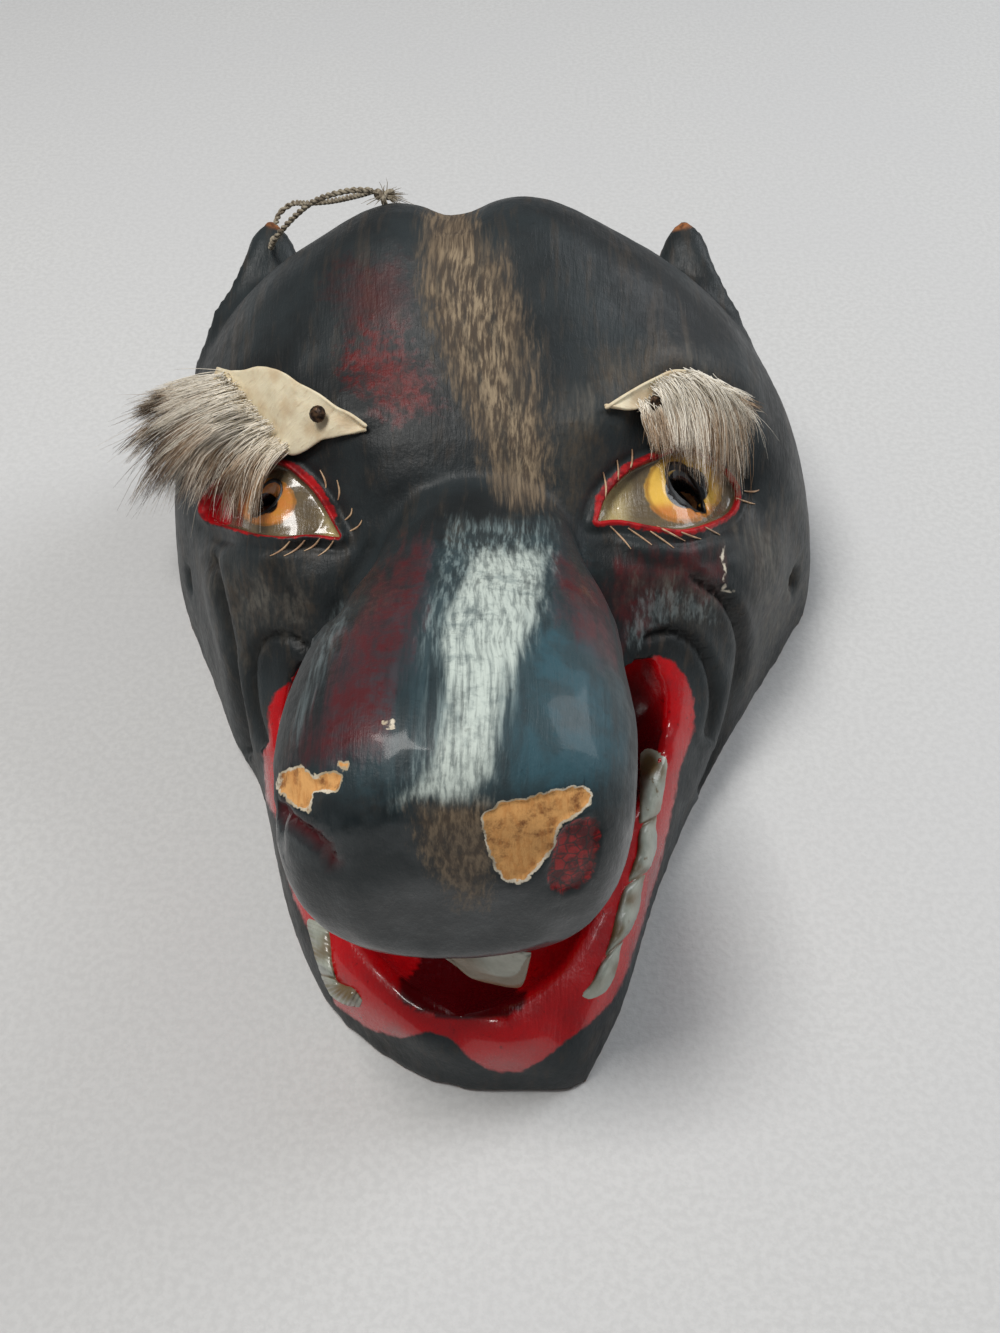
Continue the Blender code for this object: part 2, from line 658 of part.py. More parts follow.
def on_hide(rows, place):
    """A place on a hide, across and along the head."""
    first = int(place.row)
    spots = []
    for row in rows[first:first + 2]:
        spots.append(Vector(row.top).lerp(Vector(row.root), place.down))
    spot = spots[0].lerp(spots[1], place.row - first)
    return spot.x * HEAD_HALF_WIDTH, spot.y * HEAD_LENGTH


def make_tack(name, rows, place, head, brow, surface, material):
    """A domed tack whose shank passes the hide and sits in a bore in the wood."""
    seat, normal = seat_below(surface, *on_hide(rows, place))
    hide = surface_of(brow)
    aside = normal.orthogonal().normalized()
    other = normal.cross(aside)
    rises = []
    for i in range(TACK_SIDES):
        angle = 2 * math.pi * i / TACK_SIDES
        edge = seat + TACK_HEAD_RADIUS * (math.cos(angle) * aside + math.sin(angle) * other)
        hit, _, _, _ = hide.ray_cast(edge + normal * 2 * FUR_THICKNESS, -normal)
        if hit is not None:
            rises.append((hit - seat).dot(normal))
    base = seat + normal * (max(rises) + SEAT_GAP)
    profile = [
        (TACK_SHANK_RADIUS * 0.4, -TACK_SHANK_LENGTH),
        (TACK_SHANK_RADIUS, -TACK_SHANK_LENGTH * 0.8),
        (TACK_SHANK_RADIUS, 0.0),
        (TACK_HEAD_RADIUS, 0.0),
        (TACK_HEAD_RADIUS * 0.95, TACK_HEAD_HEIGHT * 0.4),
        (TACK_HEAD_RADIUS * 0.65, TACK_HEAD_HEIGHT * 0.85),
        (TACK_HEAD_RADIUS * 0.25, TACK_HEAD_HEIGHT),
    ]
    tack = turned(name, profile, base, normal, TACK_SIDES, material)
    deep = base - normal * (TACK_SHANK_LENGTH + SEAT_GAP)
    bore = as_cutter(make_rod(name + "_bore", deep, base, TACK_SHANK_RADIUS + SEAT_GAP, TACK_SIDES))
    boolean(head, bore, "DIFFERENCE")
    boolean(brow, bore, "DIFFERENCE")
    return tack


def smooth_route(points, count):
    """Points at even steps along a smooth curve through the route's own points."""
    line = [Vector(point) for point in points]
    line = [2 * line[0] - line[1]] + line + [2 * line[-1] - line[-2]]
    dense = []
    for i in range(1, len(line) - 2):
        before, start, end, after = line[i - 1:i + 3]
        for k in range(20):
            t = k / 20
            bend = 2 * before - 5 * start + 4 * end - after
            turn = 3 * start - before - 3 * end + after
            dense.append(0.5 * (2 * start + (end - before) * t + bend * t ** 2 + turn * t ** 3))
    dense.append(line[-2])
    lengths = [0.0]
    for start, end in zip(dense, dense[1:]):
        lengths.append(lengths[-1] + (end - start).length)
    places = np.linspace(0, lengths[-1], count)
    columns = [np.interp(places, lengths, [point[k] for point in dense]) for k in range(3)]
    return [Vector(point) for point in zip(*columns)]


def make_twine(material):
    curve = bpy.data.curves.new("twine", "CURVE")
    curve.dimensions = "3D"
    curve.bevel_depth = TWINE_DIAMETER / 2
    curve.bevel_resolution = 2
    curve.use_fill_caps = True
    spline = curve.splines.new("POLY")
    route = smooth_route(TWINE_ROUTE, TWINE_POINTS)
    spline.points.add(len(route) - 1)
    for point, place in zip(spline.points, route):
        point.co = (*place, 1.0)
    return add_object("twine", curve, material)


def make_knot(head, surface, material):
    """The knot on the crown, with the twine's cut end in a small bore below it."""
    seat, up = seat_below(surface, *KNOT_PLACE)
    base = seat + up * (KNOT_RADIUS + 2 * SEAT_GAP)
    tail = TWINE_DIAMETER / 2
    profile = [(tail, -KNOT_RADIUS - KNOT_TAIL_LENGTH), (tail, -KNOT_RADIUS)]
    for i in range(1, KNOT_STEPS):
        angle = math.pi * (i / KNOT_STEPS - 0.5)
        profile.append((KNOT_RADIUS * math.cos(angle), KNOT_RADIUS * math.sin(angle)))
    knot = turned("twine_knot", profile, base, up, TACK_SIDES, material)
    bore = make_rod("crown_bore", seat - up * 2 * WALL, seat + up * WALL, TWINE_HOLE_RADIUS, TACK_SIDES)
    boolean(head, as_cutter(bore), "DIFFERENCE")
    return knot


def shade_round(obj):
    obj.data.shade_smooth()
    obj.data.set_sharp_from_angle(angle=math.radians(SMOOTH_ANGLE))


def rest_on_origin(pieces):
    """Moves everything so that the box round the given pieces stands centred on the origin."""
    graph = bpy.context.evaluated_depsgraph_get()
    points = []
    for piece in pieces:
        shape = piece.evaluated_get(graph)
        mesh = shape.to_mesh()
        points += [vert.co.copy() for vert in mesh.vertices]
        shape.to_mesh_clear()
    low = Vector([min(point[k] for point in points) for k in range(3)])
    high = Vector([max(point[k] for point in points) for k in range(3)])
    centre = Vector(((low.x + high.x) / 2, (low.y + high.y) / 2, low.z))
    for obj in bpy.context.scene.objects:
        obj.location = -centre


def main():
    remove_old_objects()
    wood = new_material("painted_wood", (0.07, 0.09, 0.10), 0.4)
    hide = new_material("hide_and_fur", (0.62, 0.55, 0.44), 0.85)
    steel = new_material("dark_steel", (0.16, 0.12, 0.09), 0.5, 1.0)
    string = new_material("twine_fibre", (0.50, 0.45, 0.36), 0.9)
    head, surface = make_carved_head(wood)
    brow_left = make_brow("brow_left", BROW_LEFT_ROWS, surface, hide)
    brow_right = make_brow("brow_right", BROW_RIGHT_ROWS, surface, hide)
    tack_left = make_tack("tack_left", BROW_LEFT_ROWS, TACK_LEFT, head, brow_left, surface, steel)
    tack_right = make_tack("tack_right", BROW_RIGHT_ROWS, TACK_RIGHT, head, brow_right, surface, steel)
    make_twine(string)
    knot = make_knot(head, surface, string)
    for obj in (head, tack_left, tack_right, knot):
        shade_round(obj)
    rest_on_origin([head, brow_left, brow_right, tack_left, tack_right])


main()
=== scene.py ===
"""Looks of the carved and painted wolf mask: wood with worn glossy paint, eyes, teeth, hide and fur.

All lengths are metres. Picture coordinates are pixels of a 1000 by 1333 frame, seen from the camera.
"""

import math
import random

import bmesh
import bpy
import numpy as np
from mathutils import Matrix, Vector, noise
from mathutils.bvhtree import BVHTree


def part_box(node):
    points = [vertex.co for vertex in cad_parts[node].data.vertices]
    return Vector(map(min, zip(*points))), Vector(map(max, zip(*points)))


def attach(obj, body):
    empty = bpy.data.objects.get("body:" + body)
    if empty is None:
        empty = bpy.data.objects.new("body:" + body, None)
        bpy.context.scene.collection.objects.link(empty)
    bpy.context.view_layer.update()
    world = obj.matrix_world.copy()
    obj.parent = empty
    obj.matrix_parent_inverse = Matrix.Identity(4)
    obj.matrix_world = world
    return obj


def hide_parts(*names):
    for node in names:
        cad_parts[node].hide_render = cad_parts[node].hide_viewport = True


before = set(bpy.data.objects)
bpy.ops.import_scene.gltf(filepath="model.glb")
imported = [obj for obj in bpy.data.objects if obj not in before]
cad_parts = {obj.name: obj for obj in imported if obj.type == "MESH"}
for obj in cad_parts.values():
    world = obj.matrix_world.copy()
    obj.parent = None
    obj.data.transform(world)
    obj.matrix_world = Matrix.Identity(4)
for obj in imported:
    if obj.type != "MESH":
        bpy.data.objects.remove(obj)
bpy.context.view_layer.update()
HEAD_LOW, HEAD_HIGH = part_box("carved_head")

# Camera: 48 degrees down, level, with the picture's focal length
FOCAL_PX = 1500.0
FRAME_WIDTH = 1000.0
FRAME_HEIGHT = 1333.0
PITCH = math.radians(48.0)
HEAD_RIGHT_RIM = 0.10908
SHIFT = Vector((HEAD_HIGH.x - HEAD_RIGHT_RIM, HEAD_LOW.y, 0.0))
CAMERA_PLACE = Vector((0.0085, -0.1706, 0.3478)) + SHIFT
LOOK = Vector((0.0, math.cos(PITCH), -math.sin(PITCH)))
UP = Vector((0.0, math.sin(PITCH), math.cos(PITCH)))

# Fineness of the wood's surface
VOXEL = 0.0019
SMOOTH_PASSES = 14
SMOOTH_PASSES_EARS = 60

# Heights in the mouth
MOUTH_TOP = 0.0530
MOUTH_BACK = 0.1065

# How far behind the front of the nose's underside the upper teeth hang
UPPER_TEETH_PLANE = 0.0060

# Places of the sight holes, seen from the front, before the shift
PUPIL_RIGHT = (0.0590, 0.1370)
PUPIL_RIGHT_RADIUS = 0.0058
PUPIL_LEFT = (-0.0545, 0.1330)
PUPIL_LEFT_RADIUS = 0.0044

# Outlines of paint and carving, in picture pixels
FOREHEAD_STRIPE = [(428, 195), (420, 290), (434, 340), (456, 390), (476, 440), (498, 492), (512, 512),
                   (548, 506), (549, 440), (538, 390), (530, 330), (508, 265), (478, 224), (472, 195)]
SNOUT_STRIPE = [(452, 515), (436, 570), (424, 610), (418, 645), (430, 680), (420, 730), (402, 775),
                (392, 806), (497, 806), (506, 740), (520, 685), (541, 640), (549, 595), (556, 520)]
SNOUT_CORE = [(478, 545), (452, 600), (440, 640), (446, 690), (440, 730), (424, 772), (400, 800), (470, 806),
              (492, 772), (500, 720), (513, 670), (532, 630), (543, 590), (547, 548)]
WHITE_GLINTS = [(340, 604), (348, 612), (322, 668), (303, 716), (296, 745), (290, 742), (300, 700), (318, 655)]
WHITE_CHEEK = [(640, 596), (668, 590), (704, 600), (714, 622), (676, 614), (650, 628), (636, 650), (626, 640)]
TEAL_TOP = [(352, 640), (420, 545), (548, 530), (600, 600), (628, 700), (634, 775), (598, 815),
            (520, 812), (400, 800), (320, 790), (315, 720)]
TEAL_SIDE = [(520, 650), (552, 610), (592, 640), (620, 700), (628, 760), (594, 790), (520, 806), (505, 750)]
MAROON_LEFT = [(424, 530), (392, 560), (360, 604), (338, 664), (308, 716), (292, 768), (350, 764),
               (384, 748), (398, 700), (414, 650), (432, 575)]
MAROON_RIGHT = [(556, 560), (580, 566), (612, 596), (626, 660), (604, 668), (578, 640), (558, 606)]
MAROON_CHEEK = [(612, 560), (690, 545), (724, 560), (722, 602), (668, 600), (640, 640), (612, 620)]
RED_FOREHEAD = [(338, 352), (366, 322), (392, 330), (428, 380), (440, 412), (402, 418), (362, 402)]
RED_CROWN = [(330, 300), (345, 262), (400, 262), (412, 300), (396, 330), (350, 340)]
BROWN_BROW = [(588, 356), (640, 338), (700, 344), (748, 392), (742, 430), (690, 424), (610, 420)]
BROWN_NOSE = [(410, 800), (486, 798), (498, 842), (486, 902), (458, 904), (440, 878), (418, 850)]
BROWN_TEMPLE = [(552, 396), (604, 420), (596, 500), (560, 520), (546, 470)]
CHIP_NOSE = [(483, 814), (491, 810), (502, 801), (521, 800), (538, 796), (564, 788), (584, 786),
             (592, 795), (591, 803), (580, 814), (564, 823), (555, 836), (554, 849), (545, 860),
             (532, 875), (523, 883), (510, 883), (497, 873), (491, 855), (484, 832)]
CHIP_LEFT = [(276, 787), (280, 774), (290, 769), (301, 765), (307, 773), (313, 779), (322, 774),
             (333, 771), (341, 774), (342, 783), (335, 792), (322, 791), (313, 791), (310, 803),
             (309, 811), (299, 808), (286, 800)]
CHIP_SMALL = [(381, 724), (388, 721), (397, 723), (393, 729), (385, 730)]
CHIP_TINY = [(337, 762), (343, 760), (348, 764), (346, 770), (340, 768)]
CHIP_CHIN = [(568, 1088), (590, 1062), (606, 1036), (614, 1020), (620, 1040), (600, 1070), (580, 1092)]
NOSTRIL_RIGHT = [(565, 826), (581, 818), (597, 817), (602, 829), (600, 852), (594, 873), (581, 889),
                 (563, 894), (549, 889), (547, 871), (554, 852), (558, 837)]
MOUTH_RED = [(640, 664), (656, 655), (672, 660), (687, 678), (695, 700), (693, 735), (681, 764),
             (669, 825), (659, 873), (640, 933), (627, 972), (611, 1003), (583, 1029), (552, 1053),
             (524, 1070), (496, 1072), (470, 1059), (452, 1042), (430, 1031), (400, 1039), (368, 1029),
             (336, 1005), (309, 931), (291, 893), (276, 819), (267, 801), (264, 753), (272, 737),
             (269, 714), (273, 694), (291, 682), (310, 684), (400, 840), (600, 840)]
LASH_RIGHT = [((610, 526), (631, 549)), ((628, 528), (652, 545)), ((650, 531), (674, 548)),
              ((657, 526), (685, 541)), ((681, 532), (701, 539)), ((705, 527), (720, 535)),
              ((603, 472), (605, 499)), ((617, 460), (616, 487)), ((632, 449), (628, 474)),
              ((736, 498), (755, 504)), ((744, 491), (759, 490))]
LASH_LEFT = [((335, 538), (318, 556)), ((320, 538), (304, 551)), ((305, 540), (284, 556)),
             ((290, 541), (270, 556)), ((345, 520), (352, 508)), ((338, 500), (337, 480)),
             ((326, 488), (320, 470)), ((350, 531), (362, 520))]
SCRATCH = [(724, 548), (723, 560), (724, 572), (721, 582), (725, 591), (732, 589)]
FOREHEAD_CORE = [(440, 240), (432, 290), (448, 350), (470, 400), (492, 452), (520, 492), (545, 480),
                 (538, 420), (522, 370), (512, 310), (494, 270), (470, 236)]
# Grey-brown dust on the cheeks and temple; on the head's right side this lighter grey is also a painted sheen.
CHEEKS_DUST_AND_SHEEN = [
    [(640, 574), (700, 566), (722, 590), (724, 640), (706, 634), (676, 618), (646, 628), (634, 600)],
    [(742, 520), (800, 500), (806, 590), (770, 680), (724, 760), (744, 690), (752, 620), (744, 570)],
    [(200, 560), (260, 560), (330, 590), (300, 636), (262, 632), (246, 680), (226, 640)],
    [(572, 380), (640, 344), (700, 350), (720, 372), (640, 372), (604, 400), (600, 452), (560, 470)],
]
RED_CORNER_LEFT = [(206, 497), (230, 486), (236, 505), (228, 522), (214, 526), (203, 512)]

# Eyes: lids as outlines, iris as centre and radii
EYE_RIGHT = [(598, 521), (606, 498), (628, 473), (656, 460), (678, 452), (700, 457), (720, 470),
             (734, 492), (728, 512), (706, 524), (680, 530), (650, 526), (618, 520)]
EYE_LEFT = [(340, 537), (317, 497), (300, 479), (284, 467), (262, 464), (236, 472), (214, 492),
            (206, 508), (214, 521), (238, 529), (263, 535), (285, 537), (311, 534)]
IRIS_RIGHT = (684, 488, 39, 35)
IRIS_LEFT = (266, 502, 30, 24)

# Folds round the mouth's corners and the left nostril, as lines in picture pixels
FOLDS = [
    ([(648, 636), (672, 631), (694, 643), (710, 668), (714, 700), (708, 735)], 0.0019, 3.6),
    ([(694, 578), (724, 599), (739, 630), (740, 660), (732, 700), (716, 756), (702, 790)], 0.0024, 4.2),
    ([(610, 545), (640, 560), (690, 566), (730, 552)], 0.0007, 6.0),
    ([(309, 648), (290, 636), (266, 637), (253, 660), (256, 707), (265, 742)], 0.0019, 3.4),
    ([(214, 560), (222, 600), (231, 640), (240, 690), (250, 750)], 0.0022, 3.6),
    ([(372, 545), (350, 580), (334, 620)], 0.0008, 6.0),
    ([(270, 560), (288, 590), (300, 612)], 0.0007, 6.0),
]
NOSTRIL_LEFT = [(281, 808), (291, 821), (309, 834), (326, 850), (333, 864)]


def linear(red, green, blue):
    """A colour given as display values from 0 to 255."""
    channels = []
    for value in (red, green, blue):
        share = value / 255.0
        channels.append(share / 12.92 if share <= 0.04045 else ((share + 0.055) / 1.055) ** 2.4)
    return (*channels, 1.0)


SLATE = linear(46, 52, 54)
SLATE_DARK = linear(31, 34, 35)
NAVY = linear(16, 27, 30)
TEAL = linear(52, 84, 94)
BLUE_DULL = linear(50, 70, 76)
MAROON = linear(84, 28, 32)
RED_OLD = linear(96, 8, 8)
RED_GLOSS = linear(188, 4, 14)
# Dark red paint; the same colour is also the painted shade deep inside the mouth.
RED_DARK_AND_SHADE = linear(84, 2, 8)
RED_LIP = linear(150, 24, 30)
WHITE_PAINT = linear(198, 208, 200)
BROWN_WORN = linear(122, 106, 86)
BROWN_DARK = linear(78, 67, 56)
# Dark grime; the same colour is also the painted shade along the carved folds.
GRIME_AND_SHADE = linear(24, 24, 22)
GESSO = linear(226, 216, 196)
BARE_WOOD = linear(224, 168, 104)
BARE_DARK = linear(120, 72, 40)
HOLLOW_WOOD = linear(168, 128, 88)
YELLOW = linear(236, 190, 84)
ORANGE = linear(206, 130, 64)
EYE_BROWN = linear(98, 86, 66)
EYE_KHAKI = linear(176, 160, 112)
BLACK = linear(8, 9, 12)
TOOTH = linear(176, 180, 166)
TOOTH_STAIN = linear(112, 94, 64)


def pixel_ray(u, v):
    across = (u - FRAME_WIDTH / 2) / FOCAL_PX
    rise = (FRAME_HEIGHT / 2 - v) / FOCAL_PX
    return (LOOK + Vector((across, 0, 0)) + UP * rise).normalized()


def to_pixels(points):
    """Picture coordinates of many points."""
    offset = points - np.array(CAMERA_PLACE)
    depth = offset @ np.array(LOOK)
    u = FRAME_WIDTH / 2 + FOCAL_PX * offset[:, 0] / depth
    v = FRAME_HEIGHT / 2 - FOCAL_PX * (offset @ np.array(UP)) / depth
    return np.stack([u, v], axis=1)


def inside_distance(pixels, outline):
    """Distance to an outline in pixels, positive inside it."""
    corners = np.array(outline, float)
    best = np.full(len(pixels), np.inf)
    inside = np.zeros(len(pixels), bool)
    for start, end in zip(corners, np.roll(corners, -1, axis=0)):
        run = end - start
        t = np.clip((pixels - start) @ run / (run @ run), 0, 1)
        best = np.minimum(best, np.linalg.norm(pixels - start - t[:, None] * run, axis=1))
        crosses = (start[1] > pixels[:, 1]) != (end[1] > pixels[:, 1])
        rise = end[1] - start[1] if end[1] != start[1] else 1e-9
        at = start[0] + (pixels[:, 1] - start[1]) / rise * run[0]
        inside ^= crosses & (pixels[:, 0] < at)
    return np.where(inside, best, -best)


def line_distance(pixels, line):
    corners = np.array(line, float)
    best = np.full(len(pixels), np.inf)
    for start, end in zip(corners, corners[1:]):
        run = end - start
        t = np.clip((pixels - start) @ run / (run @ run), 0, 1)
        best = np.minimum(best, np.linalg.norm(pixels - start - t[:, None] * run, axis=1))
    return best


def ramp(values, low, high):
    t = np.clip((values - low) / (high - low), 0, 1)
    return t * t * (3 - 2 * t)


def smooth_line(points, steps):
    """A rounded line through points, as a list of tuples."""
    line = [np.array(p, float) for p in points]
    line = [2 * line[0] - line[1]] + line + [2 * line[-1] - line[-2]]
    made = []
    for i in range(1, len(line) - 2):
        before, start, end, after = line[i - 1:i + 3]
        for k in range(steps):
            t = k / steps
            bend = 2 * before - 5 * start + 4 * end - after
            turn = 3 * start - before - 3 * end + after
            made.append(0.5 * (2 * start + (end - before) * t + bend * t ** 2 + turn * t ** 3))
    made.append(line[-2])
    return [tuple(p) for p in made]


def new_object(name, mesh):
    obj = bpy.data.objects.new(name, mesh)
    bpy.context.scene.collection.objects.link(obj)
    return obj


def mesh_from(name, points, faces):
    mesh = bpy.data.meshes.new(name)
    mesh.from_pydata([tuple(p) for p in points], [], faces)
    mesh.update()
    return mesh


def add_values(mesh, name, values):
    attribute = mesh.attributes.new(name, "FLOAT", "POINT")
    attribute.data.foreach_set("value", np.asarray(values, np.float32))


def coordinates(mesh):
    points = np.zeros(len(mesh.vertices) * 3, np.float32)
    mesh.vertices.foreach_get("co", points)
    return points.reshape(-1, 3).astype(float)


def vertex_normals(mesh):
    normals = np.zeros(len(mesh.vertices) * 3, np.float32)
    mesh.vertex_normals.foreach_get("vector", normals)
    return normals.reshape(-1, 3).astype(float)


def set_coordinates(mesh, points):
    mesh.vertices.foreach_set("co", points.astype(np.float32).ravel())
    mesh.update()


def noise_at(points, scale, seed=0.0):
    """Smooth noise from about -1 to 1, one value a point."""
    shift = Vector((seed, seed * 1.7, seed * 0.3))
    return np.array([noise.noise(Vector(p) / scale + shift) for p in points])


def smooth_mesh(points, edges, passes):
    """Evens out small steps without shrinking the form."""
    count = np.bincount(edges.ravel(), minlength=len(points))
    for _ in range(passes):
        for factor in (0.55, -0.57):
            total = np.zeros_like(points)
            for k in range(3):
                total[:, k] = np.bincount(edges[:, 0], points[edges[:, 1], k], len(points))
                total[:, k] += np.bincount(edges[:, 1], points[edges[:, 0], k], len(points))
            points = points + factor * (total / count[:, None] - points)
    return points


# The wood's surface: an even fine mesh over the frame's head, finer where it is carved finely

def fine_head():
    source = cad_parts["carved_head"].data.copy()
    body = bmesh.new()
    body.from_mesh(source)
    bmesh.ops.remove_doubles(body, verts=body.verts, dist=1e-6)
    body.to_mesh(source)
    body.free()
    rough = new_object("head_source", source)
    remesh = rough.modifiers.new("even", "REMESH")
    remesh.mode = "VOXEL"
    remesh.voxel_size = VOXEL
    graph = bpy.context.evaluated_depsgraph_get()
    mesh = bpy.data.meshes.new_from_object(rough.evaluated_get(graph))
    bpy.data.objects.remove(rough)
    edges = np.zeros(len(mesh.edges) * 2, np.int32)
    mesh.edges.foreach_get("vertices", edges)
    points = smooth_mesh(coordinates(mesh), edges.reshape(-1, 2), SMOOTH_PASSES)
    even = smooth_mesh(points, edges.reshape(-1, 2), SMOOTH_PASSES_EARS)
    aside = ramp(np.abs(points[:, 0] - SHIFT.x), 0.050, 0.058) * ramp(points[:, 1] - SHIFT.y, 0.10, 0.125)
    aside *= ramp(points[:, 2], 0.008, 0.02)
    set_coordinates(mesh, points + aside[:, None] * (even - points))
    refine(mesh, [EYE_RIGHT, EYE_LEFT], 20, 1)
    refine(mesh, [EYE_RIGHT, EYE_LEFT], 7, 1)
    refine(mesh, [CHIP_NOSE, CHIP_LEFT, NOSTRIL_RIGHT], 6, 1)
    return mesh


def refine(mesh, outlines, margin, cuts):
    """Splits the faces near outlines on the outside of the wood."""
    points = coordinates(mesh)
    normals = vertex_normals(mesh)
    pixels = to_pixels(points)
    facing = (normals @ np.array(LOOK)) < 0.15
    near = np.zeros(len(points), bool)
    for outline in outlines:
        near |= inside_distance(pixels, outline) > -margin
    near &= facing & (points[:, 2] > 0.045)
    body = bmesh.new()
    body.from_mesh(mesh)
    body.verts.ensure_lookup_table()
    edges = [e for e in body.edges if near[e.verts[0].index] and near[e.verts[1].index]]
    bmesh.ops.subdivide_edges(body, edges=edges, cuts=cuts, use_grid_fill=True, smooth=0.0)
    body.to_mesh(mesh)
    body.free()


def hits_outward(tree, points, normals):
    """True where the way straight out from the head's long axis meets wood again."""
    axis_x = SHIFT.x
    met = np.zeros(len(points), bool)
    for i, (point, normal) in enumerate(zip(points, normals)):
        out = Vector((point[0] - axis_x, 0.0, point[2] + 0.01)).normalized()
        start = Vector(point) + out * 0.0025
        hit = tree.ray_cast(start, out, 0.12)[0]
        met[i] = hit is not None
    return met


